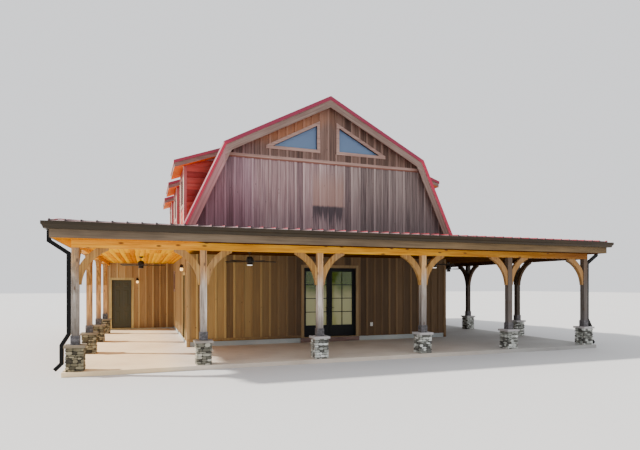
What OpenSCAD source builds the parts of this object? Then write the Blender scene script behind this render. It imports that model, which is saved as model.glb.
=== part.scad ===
// Timber barn with a gambrel roof, a loft with shed dormers, and an open
// porch on stone piers round its front and both sides.
// +X runs along the front to the right, +Y runs back, +Z is up.
// The origin is on the ground under the middle of the whole building.

/* [Plan] */
// Width of the main volume over its walls
main_w = 9140; // [8200:20:10200]
// Length of the main volume from front to back
main_l = 11300; // [10800:20:12600]
// Bay between the left wall line and the left post row
left_bay = 2760; // [2500:10:3200]
// Bay between the right wall line and the right post row
right_bay = 2950; // [2500:10:3300]
// Distance between the two middle front posts
mid_bay = 3060; // [2800:10:3300]
// Distance of the flank posts inside the lines of the side walls
flank_in = 90; // [60:5:150]
// Distance from the front post row to the front wall
porch_d = 3450; // [3200:10:3800]
// Spacing of the side posts
side_bay = 3000; // [2800:10:3200]
// Number of side posts behind each corner post
side_posts = 3; // [1:1:3]
// Distance from the front wall back to the front of the wings
wing_back = 7040; // [6600:10:7400]
// Thickness of the timber walls
wall_t = 150; // [120:5:180]

/* [Ground and floors] */
// Height of the porch floor above the ground
slab_h = 100; // [60:5:160]
// How far the porch floor reaches past the post rows
slab_out = 250; // [220:5:300]
// Height of the main floor above the porch floor
stem_h = 150; // [100:5:200]
// Height of the wing floors above the porch floor
wing_stem_h = 55; // [30:5:90]
// How far the siding hangs past the concrete stem
stem_inset = 15; // [0:5:30]
// Height of the loft floor above the porch floor
loft_h = 3200; // [3100:10:3300]
// Thickness of the loft floor
loft_t = 250; // [200:10:280]

/* [Piers and posts] */
// Width of a stone pier
pier_w = 380; // [340:5:420]
// Height of a stone pier without its cap
pier_h = 515; // [450:5:600]
// Width of a pier cap
cap_w = 430; // [425:5:470]
// Thickness of a pier cap
cap_t = 55; // [40:5:70]
// Side of the square timber posts
post_w = 150; // [140:2:170]
// Height of the dark boot round a post
boot_h = 200; // [150:5:250]
// Wall of the boot
boot_t = 18; // [10:1:25]
// Height of the beam's underside above the porch floor
beam_h = 2710; // [2600:10:2760]
// Depth of the porch beam
beam_d = 200; // [170:5:230]
// Width of the porch beam
beam_w = 150; // [140:2:170]
// Reach of a knee brace below the beam
brace_drop = 820; // [700:10:900]
// Reach of a knee brace out from the post
brace_run = 600; // [500:10:700]
// Radius of the underside of a knee brace
brace_r = 900; // [750:10:1200]
// Depth of a knee brace
brace_d = 155; // [130:5:170]
// Thickness of a knee brace
brace_t = 100; // [80:5:120]
// Thickness left at both ends of a knee brace
brace_toe = 45; // [20:5:60]

/* [Porch roof] */
// Height of the ceiling above the beam's underside
ceiling_up = 135; // [80:5:150]
// Thickness of ceiling and soffit boards
board_t = 20; // [15:1:25]
// Height of the soffit above the beam's underside
soffit_up = 175; // [130:5:175]
// Reach of the fascia's face outside the post rows
fascia_out = 450; // [400:5:500]
// Thickness of the fascia
fascia_t = 30; // [20:1:40]
// Depth of the fascia under the roof sheets
fascia_d = 350; // [290:5:360]
// How far the roof sheets pass the fascia
drip = 20; // [10:1:40]
// Rise of the porch roof from the eaves to the walls
roof_rise = 310; // [300:5:355]
// Thickness of the roof sheets
sheet_t = 25; // [15:1:30]
// Distance between the ribs of the roof sheets
rib_pitch = 305; // [200:5:400]
// Width of a rib at its foot
rib_w = 50; // [40:1:60]
// Width of a rib at its top
rib_top = 24; // [15:1:30]
// Height of a rib
rib_h = 20; // [10:1:25]
// Gap between sheets under a hip or ridge cap
cap_gap = 20; // [6:1:30]
// Half width of a hip or ridge cap
cap_half = 120; // [80:5:160]
// Thickness of a hip or ridge cap
cap_sheet_t = 6; // [4:1:10]
// Reach of the gutter outside the fascia
gutter_w = 140; // [120:5:160]
// Height of the gutter
gutter_h = 152; // [120:2:160]
// Gap between the gutter's rim and the sheets over it
gutter_gap = 18; // [1:1:30]
// Wall of the gutter
gutter_t = 5; // [3:1:8]
// Width of a downspout across its front
spout_w = 85; // [60:1:105]
// Depth of a downspout from front to back
spout_t = 75; // [50:1:90]
// Gap between a downspout and the post or cap beside it
spout_gap = 15; // [8:1:30]
// Height of the upper bend's start above the beam's underside
spout_turn = 140; // [100:5:145]
// Height of the upper bend's end below the beam's underside
spout_bend = 130; // [100:5:200]
// Height above the pier cap where a downspout leaves the post
spout_leave = 240; // [220:5:300]
// Height above the porch floor where a downspout kicks out
spout_low = 170; // [120:5:200]
// Reach and drop of the kick out
spout_kick = 140; // [100:5:150]

/* [Main roof] */
// Height of the side walls' top above the porch roof that meets them
wall_over = 80; // [60:5:150]
// Distance of the roof's knee in from the side walls
knee_in = 1080; // [1000:10:1200]
// Rise of the roof from the knee to the ridge
upper_rise = 1820; // [1650:10:2000]
// Rise over run of the steep lower slopes
lower_pitch = 2.16; // [2.0:0.01:2.3]
// Thickness of the boarded deck under the sheets
deck_t = 100; // [80:5:120]
// How far the lower slope runs down past the top of the wall
eave_drop = 45; // [30:1:50]
// Overhang of the roof at both gables
rake_out = 250; // [200:5:320]
// Depth of the metal trim along the rakes
rake_trim_d = 85; // [60:5:120]
// Thickness of the metal trim along the rakes
rake_trim_t = 18; // [10:1:25]
// Depth of the barge boards from the top of the sheets
barge_d = 300; // [260:5:340]
// Thickness of the barge boards
barge_t = 35; // [25:1:45]

/* [Dormers] */
// Number of dormers on each side
dormers = 3; // [1:1:3]
// Distance between dormers
dormer_pitch = 3700; // [3200:10:3900]
// Width of a dormer over its cheeks
dormer_w = 1550; // [1400:10:1700]
// Thickness of dormer walls
dormer_t = 100; // [80:5:120]
// Overhang of a dormer roof past its front
dormer_eave = 350; // [280:5:400]
// Overhang of a dormer roof past its cheeks
dormer_rake = 270; // [200:5:300]
// Drop of a dormer roof's outer top edge below the roof's knee
dormer_drop = 394; // [300:2:450]
// Rise over run of a dormer roof
dormer_rise = 0.35; // [0.32:0.01:0.38]
// Thickness of a dormer roof's metal, edge trim included
dormer_sheet_t = 95; // [60:5:110]
// Thickness of the boards under a dormer roof
dormer_board_t = 135; // [90:5:150]
// Width of a dormer window's opening
dormer_win_w = 900; // [700:10:1000]
// Height of a dormer window's opening
dormer_win_h = 950; // [800:10:1100]
// Height of a dormer window's sill above the top of the side walls
dormer_sill = 900; // [700:10:950]

/* [Doors and windows] */
// Offset of the French doors from the middle of the main volume
french_x = 80; // [-200:10:200]
// Width of the French doors' opening in the wall
french_w = 1930; // [1800:10:2000]
// Height of the French doors' opening above the main floor
french_h = 2345; // [2200:5:2400]
// Width of a French door's stiles
stile_w = 95; // [80:5:110]
// Height of a French door's bottom rail
french_base = 369; // [300:5:400]
// Height of a French door's top rail
french_top = 114; // [90:2:130]
// Width of the glazing bars in the French doors
bar_w = 24; // [18:1:30]
// Width of the side door's leaf
side_leaf_w = 813; // [760:1:860]
// Height of the side door's leaf
side_leaf_h = 2032; // [1980:2:2080]
// Distance of the side door's middle behind the front wall
side_door_y = 1200; // [1100:10:1800]
// Width of the wing door's leaf
wing_leaf_w = 762; // [700:1:813]
// Height of the wing door's leaf
wing_leaf_h = 2020; // [1980:2:2050]
// Distance of the wing door's hinge side from the left post row
wing_door_x = 164; // [150:1:300]
// Thickness of the door leaves
leaf_t = 45; // [40:1:50]
// Running gap round a door leaf
leaf_gap = 6; // [5:1:8]
// Radius of a hinge's knuckles
hinge_r = 8; // [6:1:10]
// Height of a hinge
hinge_l = 100; // [80:5:120]
// Width of a hinge's plate
hinge_plate = 32; // [20:1:34]
// Thickness of a hinge's plate
hinge_t = 3; // [2:0.5:4]
// Distance from the foot or top of a leaf to the nearest hinge
hinge_in = 180; // [120:10:250]
// Gap between the two French doors
meeting_gap = 8; // [7:1:10]
// Height of the handles above a leaf's foot
handle_z = 950; // [900:10:1050]
// Reach of a handle from the leaf's face
handle_out = 55; // [50:1:70]
// Distance of a knob from the edge of its leaf
knob_in = 70; // [60:1:80]
// Radius of a knob
knob_r = 27; // [22:1:30]
// Radius of the rose behind a knob
rose_r = 32; // [28:1:36]
// Thickness of the roses and of the levers' plates
rose_t = 8; // [5:1:10]
// Width of a lever's plate
plate_w = 40; // [30:1:50]
// Height of a lever's plate
plate_h = 220; // [180:5:260]
// Length of a lever
lever_l = 118; // [100:1:130]
// Thickness of a lever
lever_t = 16; // [12:1:18]
// Depth of the sunk panels in a door
panel_in = 9; // [5:1:12]
// Width of the borders round the sunk panels
panel_gap = 107; // [90:1:120]
// Thickness of door jambs
jamb_t = 35; // [30:1:45]
// Thickness of a threshold
sill_t = 20; // [15:1:25]
// Width of the outside casing round doors and windows
casing_w = 60; // [50:5:90]
// How far the casing stands out from the wall
casing_out = 22; // [15:1:25]
// Width of a high window's opening
high_w = 800; // [700:10:900]
// Height of a high window's opening
high_h = 750; // [600:10:800]
// Height of a high window's sill above the porch floor
high_sill = 1680; // [1500:10:1750]
// Distance of a high window's middle in front of the wings
high_window_back = 590; // [500:10:700]
// Width of a window frame's bars
frame_w = 50; // [40:2:60]
// Thickness of the glass
glass_t = 8; // [6:1:12]
// Distance of a gable window's upright side from the middle
gable_win_u = 394; // [350:2:450]
// Height of the gable windows' glass above the roof's knee
gable_win_up = 98; // [80:2:140]
// Height of the glass at its upright side
gable_win_h = 800; // [700:10:860]
// Rise over run of the sloping side of the gable windows
gable_win_pitch = 0.53; // [0.52:0.001:0.6]
// Width of the gable windows' frames
gable_frame_w = 100; // [80:2:120]
// Depth of the board across each gable
band_d = 130; // [100:5:150]
// Drop of the underside of that board below the roof's knee
band_drop = 370; // [320:10:420]

/* [Fans and lights] */
// Distance of the side porches' fans behind the front wall
side_fan_y = 1900; // [1500:10:2400]
// Drop of the fan blades below the ceiling
fan_drop = 295; // [250:5:340]
// Height of a fan's canopy under the ceiling
canopy_h = 60; // [40:5:80]
// Radius of a fan's canopy
canopy_r = 75; // [60:5:90]
// Radius of the fans over their blades
fan_r = 760; // [600:10:760]
// Number of blades on a fan
fan_blades = 5; // [3:1:5]
// Width of a fan blade
blade_w = 130; // [100:5:150]
// Thickness of a fan blade
blade_t = 10; // [6:1:12]
// Distance of the blades' roots from the motor housing
blade_gap = 70; // [40:5:90]
// Tilt of a fan blade
blade_tilt = 12; // [0:1:15]
// Width of the irons that carry the blades
iron_w = 36; // [25:1:45]
// Thickness of those irons
iron_t = 8; // [6:1:10]
// Radius of the fan rod
rod_r = 12; // [10:1:16]
// Running clearance between rod and hub
rod_gap = 0.3; // [0.1:0.1:0.5]
// Radius of the fan's motor housing
hub_r = 105; // [90:5:120]
// Height of the fan's motor housing over the blades
hub_h = 80; // [60:5:100]
// Depth of the fan's motor housing under the middle of the blades
hub_low = 25; // [20:1:40]
// Height of the bell on top of the motor housing
bell_h = 60; // [40:5:80]
// Height of a fan's lamp
lamp_h = 45; // [35:5:70]
// Radius of a fan's lamp
lamp_r = 92; // [70:1:100]
// Height of the collar over a fan's lamp
collar_h = 14; // [10:1:30]
// Drop of the lantern over the French doors below the ceiling
french_light_drop = 165; // [163:1:175]
// Drop of the lantern over the side door below the ceiling
side_light_drop = 395; // [285:5:415]
// Drop of the wing's lantern below the ceiling
wing_light_drop = 770; // [635:5:935]
// Distance of the wing's lantern beyond its door
wing_light_x = 244; // [180:2:400]
// Reach of a lantern's arm from the wall
lantern_out = 130; // [110:2:150]
// Height of a lantern's body
lantern_h = 190; // [150:5:190]
// Radius of a lantern's body at its top
lantern_r = 60; // [45:1:65]
// Radius of a lantern's hood
hood_r = 70; // [60:1:80]
// Height of a lantern's hood
hood_h = 45; // [30:1:45]
// Width of a lantern's wall plate
light_plate_w = 90; // [70:2:110]
// Thickness of that plate
light_plate_t = 14; // [10:1:18]

/* [Hidden] */

$fn = 48;

// Lines of the plan
eave_out = fascia_out + drip;
gutter_out = fascia_out + gutter_w;
main_x = (left_bay - right_bay) / 2;
total_d = gutter_out + porch_d + main_l + rake_out + rake_trim_t;
post_y = gutter_out - total_d / 2;
wall_front = post_y + porch_d;
wall_rear = wall_front + main_l;
wall_left = main_x - main_w / 2;
wall_right = main_x + main_w / 2;
front_row_half = main_w / 2 - flank_in;
post_left = main_x - front_row_half - left_bay;
post_right = main_x + front_row_half + right_bay;
wing_front = wall_front + wing_back;
wing_left = post_left - beam_w / 2;
wing_right = post_right + beam_w / 2;
roof_end = wall_rear + rake_out;
roof_start = wall_front - rake_out;

// Heights above the ground
floor_z = slab_h + stem_h;
wing_floor_z = slab_h + wing_stem_h;
loft_z = slab_h + loft_h;
cap_z = slab_h + pier_h + cap_t;
beam_z = slab_h + beam_h;
ceiling_z = beam_z + ceiling_up;
soffit_z = beam_z + soffit_up;
eave_z = soffit_z + fascia_d;
gutter_z = eave_z - gutter_gap - gutter_h;
wall_top = eave_z + roof_rise + sheet_t + wall_over;

// A size that lies safely beyond any cut, and how far a cut passes a face
far = 30000;
past = 1;
// Gap between pieces that lie on each other at an angle
seat_gap = 0.3;
// Gap between lengths of the same thing that meet at a corner
joint = 2;

// Slopes of the main roof. d is a depth below the top of the sheets, at
// right angles to them, and u is a distance from the middle.
knee_u = main_w / 2 - knee_in;
upper_pitch = upper_rise / knee_u;
upper_len = sqrt(1 + upper_pitch * upper_pitch);
lower_len = sqrt(1 + lower_pitch * lower_pitch);
roof_t = sheet_t + deck_t;
deck_d = sheet_t + seat_gap;
knee_z = wall_top + lower_pitch * knee_in + roof_t * lower_len;
ridge_z = knee_z + upper_rise;
dormer_z = knee_z - dormer_drop;
function knee_at(d) =
    (knee_z + lower_pitch * knee_u - ridge_z - d * (lower_len - upper_len))
    / (lower_pitch - upper_pitch);
function upper_at(u, d) = ridge_z - upper_pitch * u - d * upper_len;
function lower_at(u, d) = knee_z - lower_pitch * (u - knee_u) - d * lower_len;
function lower_u(z, d) = knee_u + (knee_z - z - d * lower_len) / lower_pitch;
function knee_point(d) = [knee_at(d), upper_at(knee_at(d), d)];
lower_end = wall_top - eave_drop;

// Posts of the porch: middle of each, and the directions of its braces
front_x = [
    post_left, main_x - front_row_half, main_x - mid_bay / 2,
    main_x + mid_bay / 2, main_x + front_row_half, post_right
];
side_y = [for (i = [1:side_posts]) post_y + i * side_bay];
post_places = concat(
    [for (x = front_x) [x, post_y]],
    [for (x = [post_left, post_right], y = side_y) [x, y]]
);

// Dormer middles along the roof
first_dormer = wall_front + (main_l - (dormers - 1) * dormer_pitch) / 2;
dormer_y = [for (i = [0:dormers - 1]) first_dormer + i * dormer_pitch];
dormer_front = main_w / 2;
function dormer_at(u, d) = dormer_z + dormer_rise * (dormer_front + dormer_eave - u) - d;

// Doors
french_mid = main_x + french_x;
french_leaf_w = (french_w - 2 * jamb_t - 2 * leaf_gap - meeting_gap) / 2;
french_leaf_h = french_h - jamb_t - sill_t - 2 * leaf_gap;
side_open_w = side_leaf_w + 2 * (leaf_gap + jamb_t);
side_open_h = side_leaf_h + 2 * leaf_gap + jamb_t + sill_t;
side_mid = wall_front + side_door_y;
wing_open_w = wing_leaf_w + 2 * (leaf_gap + jamb_t);
wing_open_h = wing_leaf_h + 2 * leaf_gap + jamb_t + sill_t;
wing_hinge = post_left + wing_door_x;
wing_open_x = wing_hinge - leaf_gap - jamb_t;
high_mid = wing_front - high_window_back;

// Fans: two over the front porch, one on each side
fan_places = [
    [(post_left + wall_left) / 2, wall_front + side_fan_y],
    [(front_x[1] + front_x[2]) / 2, post_y + porch_d / 2],
    [(front_x[3] + front_x[4]) / 2, post_y + porch_d / 2],
    [(post_right + wall_right) / 2, wall_front + side_fan_y]
];

// A box from its lowest corner to its highest
module span(a, b) {
    translate(a) cube(b - a);
}

// An outline of across and up, drawn out to the back from y0 to y1
module along_y(y0, y1) {
    translate([0, y1, 0]) rotate([90, 0, 0]) linear_extrude(y1 - y0) children();
}

// Both halves of something symmetric about the middle of the main volume
module both_sides() {
    for (s = [0, 1]) translate([main_x, 0, 0]) mirror([s, 0, 0]) children();
}

// Section of a ribbed sheet: flat underneath, ribs on top
function ribbed(l) = concat(
    [[0, 0], [l, 0], [l, sheet_t]],
    [for (i = [floor((l - rib_w) / rib_pitch):-1:0], p = [
        [rib_w, 0], [(rib_w + rib_top) / 2, rib_h], [(rib_w - rib_top) / 2, rib_h], [0, 0]
    ]) [i * rib_pitch + p[0] + past, sheet_t + p[1]]],
    [[0, sheet_t]]
);

// The outline under one depth of the main roof, both halves
module roof_outline(d, z0) {
    k = knee_point(d);
    u = min(main_w / 2, lower_u(z0, d));
    z = min(wall_top, lower_at(u, d));
    polygon([
        [-u, z0], [u, z0], [u, max(z, z0)], k, [0, upper_at(0, d)],
        [-k[0], k[1]], [-u, max(z, z0)]
    ]);
}

// A band between two depths of the main roof, both halves
module roof_band(d0, d1) {
    k0 = knee_point(d0);
    k1 = knee_point(d1);
    e0 = [lower_u(lower_end, d0), lower_end];
    e1 = [lower_u(lower_end, d1), lower_end];
    polygon([
        e0, k0, [0, upper_at(0, d0)], [-k0[0], k0[1]], [-e0[0], e0[1]],
        [-e1[0], e1[1]], [-k1[0], k1[1]], [0, upper_at(0, d1)], k1, e1
    ]);
}

// Half of that band above the knee, and below it
module upper_band(d0, d1) {
    k0 = knee_point(d0);
    k1 = knee_point(d1);
    u = cap_gap / 2;
    polygon([[u, upper_at(u, d0)], k0, k1, [u, upper_at(u, d1)]]);
}
module lower_band(d0, d1) {
    k0 = knee_point(d0);
    k1 = knee_point(d1);
    polygon([
        k0, [lower_u(lower_end, d0), lower_end],
        [lower_u(lower_end, d1), lower_end], k1
    ]);
}

// The gaps that the dormers take out of the lower slopes
module dormer_gaps() {
    for (y = dormer_y)
        span([knee_u / 2, y - dormer_w / 2, lower_end - past],
             [main_w, y + dormer_w / 2, knee_z + main_w]);
}

// A sloping ribbed sheet of the main roof's right half
module slope_sheet(pitch) {
    a = atan(pitch);
    run = main_w;
    k = knee_point(sheet_t);
    translate([k[0], roof_start + barge_t + seat_gap, k[1]])
        rotate([0, a, 0]) translate([-run / 2, 0, 0]) rotate([90, 0, 90])
        linear_extrude(run) polygon(ribbed(roof_end - roof_start - 2 * (barge_t + seat_gap)));
}

// Ground: the stem and floors of the house
module foundation_plan() {
    i = stem_inset;
    translate([wall_left + i, wall_front + i])
        square([main_w - 2 * i, main_l - 2 * i]);
    translate([wing_left + i, wing_front + i])
        square([wing_right - wing_left - 2 * i, wall_rear - wing_front - 2 * i]);
}
module foundation() {
    i = stem_inset;
    color("darkgray") {
        span([wall_left + i, wall_front + i, 0], [wall_right - i, wall_rear - i, floor_z]);
        span([wing_left + i, wing_front + i, 0], [wing_right - i, wall_rear - i, wing_floor_z]);
    }
}
module porch_slab() {
    color("tan") difference() {
        span([post_left - slab_out, post_y - slab_out, 0],
             [post_right + slab_out, wing_front + stem_inset, slab_h]);
        translate([0, 0, -past]) linear_extrude(slab_h + 2 * past) foundation_plan();
    }
}

// Main walls
module front_wall_left() {
    color("saddlebrown")
        span([wall_left, wall_front, floor_z],
             [french_mid - french_w / 2, wall_front + wall_t, loft_z]);
}
module front_wall_right() {
    color("saddlebrown")
        span([french_mid + french_w / 2, wall_front, floor_z],
             [wall_right, wall_front + wall_t, loft_z]);
}
module walls_over_doors() {
    color("saddlebrown") {
        span([french_mid - french_w / 2, wall_front, floor_z + french_h],
             [french_mid + french_w / 2, wall_front + wall_t, loft_z]);
        span([wall_left, side_mid - side_open_w / 2, floor_z + side_open_h],
             [wall_left + wall_t, side_mid + side_open_w / 2, wall_top]);
        intersection() {
            along_y(wing_front, wing_front + wall_t) left_wing_outline();
            span([wing_open_x, wing_front - past, wing_floor_z + wing_open_h],
                 [wing_open_x + wing_open_w, wing_front + wall_t + past, far]);
        }
    }
}

// Outline of a gable window grown by t on all sides, with its tip cut off
module gable_window(t) {
    s = sqrt(1 + gable_win_pitch * gable_win_pitch);
    z0 = knee_z + gable_win_up;
    top = z0 + gable_win_h + t * s + t * gable_win_pitch;
    u0 = gable_win_u - t;
    tip = gable_win_u + gable_win_h / gable_win_pitch + 2.2 * t;
    polygon(t > 0
        ? [[u0, z0 - t], [u0, top], [tip, top - (tip - u0) * gable_win_pitch], [tip, z0 - t]]
        : [[u0, z0], [u0, top], [tip, z0]]);
}
module gable_windows(t, y0, y1) {
    both_sides() along_y(y0, y1) gable_window(t);
}

// A high window, made smaller by inset on all four sides
module high_window(x0, x1, y, inset) {
    z = slab_h + high_sill;
    span([x0, y - high_w / 2 + inset, z + inset], [x1, y + high_w / 2 - inset, z + high_h - inset]);
}
module rear_window(x, y0, y1, inset) {
    z = slab_h + high_sill;
    span([x - high_w / 2 + inset, y0, z + inset], [x + high_w / 2 - inset, y1, z + high_h - inset]);
}
rear_window_x = [main_x - main_w / 4, main_x + main_w / 4];

module front_gable_wall() {
    color("rosybrown") difference() {
        translate([main_x, 0, 0]) along_y(wall_front, wall_front + wall_t)
            roof_outline(roof_t + seat_gap, loft_z);
        gable_windows(gable_frame_w, wall_front - past, wall_front + wall_t + past);
    }
}
module rear_wall() {
    color("rosybrown") difference() {
        translate([main_x, 0, 0]) along_y(wall_rear - wall_t, wall_rear)
            roof_outline(roof_t + seat_gap, floor_z);
        gable_windows(gable_frame_w, wall_rear - wall_t - past, wall_rear + past);
        for (x = rear_window_x) rear_window(x, wall_rear - wall_t - past, wall_rear + past, 0);
    }
}
module left_wall_front() {
    color("sienna")
        span([wall_left, wall_front + wall_t, floor_z],
             [wall_left + wall_t, side_mid - side_open_w / 2, wall_top]);
}
module left_wall_rear() {
    color("sienna") difference() {
        span([wall_left, side_mid + side_open_w / 2, floor_z],
             [wall_left + wall_t, wall_rear - wall_t, wall_top]);
        high_window(wall_left - past, wall_left + wall_t + past, high_mid, 0);
    }
}
module right_wall() {
    color("sienna") difference() {
        span([wall_right - wall_t, wall_front + wall_t, floor_z],
             [wall_right, wall_rear - wall_t, wall_top]);
        high_window(wall_right - wall_t - past, wall_right + past, high_mid, 0);
    }
}

// Wings: walls of across and up, under the slope of the side roofs
function left_under(x) =
    eave_z + roof_rise * (x - post_left + eave_out) / (wall_left - post_left + eave_out);
function right_under(x) =
    eave_z + roof_rise * (post_right + eave_out - x) / (post_right + eave_out - wall_right);
module left_wing_outline() {
    g = seat_gap;
    polygon([
        [wing_left, wing_floor_z], [wall_left, wing_floor_z],
        [wall_left, left_under(wall_left) - g], [wing_left, left_under(wing_left) - g]
    ]);
}
module right_wing_outline() {
    g = seat_gap;
    polygon([
        [wall_right, wing_floor_z], [wing_right, wing_floor_z],
        [wing_right, right_under(wing_right) - g], [wall_right, right_under(wall_right) - g]
    ]);
}
module left_wing_front_wall() {
    color("sienna") intersection() {
        along_y(wing_front, wing_front + wall_t) left_wing_outline();
        span([wing_open_x + wing_open_w, wing_front - past, 0],
             [wall_left + past, wing_front + wall_t + past, far]);
    }
}
module left_wing_side_wall() {
    color("sienna") intersection() {
        along_y(wing_front, wall_rear - wall_t) left_wing_outline();
        union() {
            span([wing_left - past, wing_front - past, 0], [wing_left + wall_t, wall_rear, far]);
            span([wing_left - past, wing_front - past, 0], [wing_open_x, wing_front + wall_t, far]);
        }
    }
}
module right_wing_front_wall() {
    color("sienna") intersection() {
        along_y(wing_front, wing_front + wall_t) right_wing_outline();
        span([wall_right - past, wing_front - past, 0],
             [wing_right - wall_t, wing_front + wall_t + past, far]);
    }
}
module right_wing_side_wall() {
    color("sienna") intersection() {
        along_y(wing_front, wall_rear - wall_t) right_wing_outline();
        span([wing_right - wall_t, wing_front - past, 0], [wing_right + past, wall_rear, far]);
    }
}
module wing_rear_walls() {
    color("sienna") along_y(wall_rear - wall_t, wall_rear) {
        left_wing_outline();
        right_wing_outline();
    }
}
module loft_floor() {
    color("burlywood")
        span([wall_left + wall_t, wall_front + wall_t, loft_z - loft_t],
             [wall_right - wall_t, wall_rear - wall_t, loft_z]);
}

// Main roof
module upper_roof_deck() {
    color("peru") both_sides()
        along_y(roof_start + barge_t, roof_end - barge_t) upper_band(deck_d, roof_t);
}
module lower_roof_deck() {
    color("peru") both_sides() difference() {
        along_y(roof_start + barge_t, roof_end - barge_t) lower_band(deck_d, roof_t);
        dormer_gaps();
    }
}
module upper_roof_sheets() {
    color("firebrick") both_sides() intersection() {
        slope_sheet(upper_pitch);
        along_y(roof_start, roof_end) upper_band(-2 * rib_h, sheet_t + past);
    }
}
module lower_roof_sheets() {
    color("firebrick") both_sides() difference() {
        intersection() {
            slope_sheet(lower_pitch);
            along_y(roof_start, roof_end) lower_band(-2 * rib_h, sheet_t + past);
        }
        dormer_gaps();
    }
}
module roof_caps() {
    color("firebrick") {
        translate([main_x, 0, 0]) along_y(roof_start + barge_t, roof_end - barge_t) polygon([
            [0, upper_at(0, -rib_h - cap_sheet_t)],
            [cap_half, upper_at(cap_half, -rib_h - cap_sheet_t)],
            [cap_half, upper_at(cap_half, -rib_h)], [0, upper_at(0, -rib_h)],
            [-cap_half, upper_at(cap_half, -rib_h)],
            [-cap_half, upper_at(cap_half, -rib_h - cap_sheet_t)]
        ]);
        hip_cap(post_left - eave_out, wall_left);
        hip_cap(post_right + eave_out, wall_right);
    }
}

// A flat cap along a hip of the porch roof, from the eaves to the wall
module hip_cap(x0, x1) {
    dx = x1 - x0;
    dy = porch_d + eave_out;
    plan = sqrt(dx * dx + dy * dy);
    translate([x0, post_y - eave_out, eave_z + sheet_t + rib_h])
        rotate([0, 0, atan2(dy, dx)]) rotate([0, -atan(roof_rise / plan), 0])
        translate([cap_half * 2, -cap_half / 2, seat_gap])
        cube([plan - cap_half * 4, cap_half, cap_sheet_t]);
}
module rake_trims() {
    color("firebrick") translate([main_x, 0, 0]) {
        along_y(roof_start - rake_trim_t, roof_start) roof_band(-rib_h - cap_sheet_t, rake_trim_d);
        along_y(roof_end, roof_end + rake_trim_t) roof_band(-rib_h - cap_sheet_t, rake_trim_d);
    }
}
module barge_boards() {
    color("dimgray") translate([main_x, 0, 0]) {
        along_y(roof_start, roof_start + barge_t) roof_band(0, barge_d);
        along_y(roof_end - barge_t, roof_end) roof_band(0, barge_d);
    }
}
module gable_bands() {
    color("dimgray") translate([main_x, 0, 0])
        for (y = [wall_front - casing_out, wall_rear])
            intersection() {
                along_y(y, y + casing_out) roof_outline(roof_t + seat_gap, loft_z);
                translate([-main_w, y - past, knee_z - band_drop])
                    cube([2 * main_w, casing_out + 2 * past, band_d]);
            }
}

// Dormers, drawn for the right half and mirrored
dormer_roof_t = dormer_sheet_t + dormer_board_t;
module dormer_walls() {
    sill = wall_top + dormer_sill;
    color("saddlebrown") both_sides() for (y = dormer_y) difference() {
        along_y(y - dormer_w / 2, y + dormer_w / 2) difference() {
            polygon([
                [dormer_front, wall_top], [dormer_front, dormer_at(dormer_front, dormer_roof_t)],
                [knee_u / 2, dormer_at(knee_u / 2, dormer_roof_t)], [knee_u / 2, wall_top]
            ]);
            polygon([
                [0, 0], [lower_u(0, roof_t), 0], knee_point(roof_t),
                knee_point(-rib_h), [0, upper_at(0, -rib_h)]
            ]);
        }
        span([0, y - dormer_w / 2 + dormer_t, 0],
             [dormer_front - dormer_t, y + dormer_w / 2 - dormer_t, far]);
        span([0, y - dormer_win_w / 2, sill], [main_w, y + dormer_win_w / 2, sill + dormer_win_h]);
    }
}

// Section of one layer of a dormer roof, down to the main roof it lies on
module dormer_layer(d0, d1, in) {
    u1 = dormer_front + dormer_eave - in;
    difference() {
        polygon([
            [u1, dormer_at(u1, d0)], [0, dormer_at(0, d0)],
            [0, dormer_at(0, d1)], [u1, dormer_at(u1, d1)]
        ]);
        polygon([
            [-past, 0], [lower_u(0, -rib_h), 0], knee_point(-rib_h - seat_gap),
            [-past, upper_at(-past, -rib_h - seat_gap)]
        ]);
    }
}
module dormer_roof_boards() {
    w = dormer_w / 2 + dormer_rake - drip;
    color("peru") both_sides() for (y = dormer_y)
        along_y(y - w, y + w) dormer_layer(dormer_sheet_t, dormer_roof_t, drip);
}
module dormer_roof_sheets() {
    w = dormer_w / 2 + dormer_rake;
    color("firebrick") both_sides() for (y = dormer_y)
        along_y(y - w, y + w) dormer_layer(0, dormer_sheet_t, 0);
}

// A ribbed sheet that rises from y = 0, as wide as l
module porch_sheet(l, run) {
    a = atan(roof_rise / run);
    over = rib_pitch;
    translate([0, run + over, (run + over) * tan(a)]) rotate([90 + a, 0, 0])
        linear_extrude((run + 2 * over) / cos(a)) polygon(ribbed(l));
}
module porch_roof_front() {
    w = post_right - post_left + 2 * eave_out;
    g = cap_gap / 2;
    color("firebrick") intersection() {
        translate([post_left - eave_out, post_y - eave_out, eave_z])
            porch_sheet(w, porch_d + eave_out);
        linear_extrude(far) polygon([
            [post_left - eave_out + g, post_y - eave_out],
            [post_right + eave_out - g, post_y - eave_out],
            [wall_right - g, wall_front], [wall_left + g, wall_front]
        ]);
    }
}
module porch_roof_sides() {
    l = roof_end - post_y + eave_out;
    g = cap_gap / 2;
    color("firebrick") {
        intersection() {
            translate([post_left - eave_out, roof_end, eave_z]) rotate([0, 0, -90])
                porch_sheet(l, wall_left - post_left + eave_out);
            linear_extrude(far) polygon([
                [post_left - eave_out, post_y - eave_out + g], [wall_left, wall_front + g],
                [wall_left, roof_end], [post_left - eave_out, roof_end]
            ]);
        }
        intersection() {
            translate([post_right + eave_out, post_y - eave_out, eave_z]) rotate([0, 0, 90])
                porch_sheet(l, post_right + eave_out - wall_right);
            linear_extrude(far) polygon([
                [post_right + eave_out, post_y - eave_out + g], [wall_right, wall_front + g],
                [wall_right, roof_end], [post_right + eave_out, roof_end]
            ]);
        }
    }
}

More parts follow.
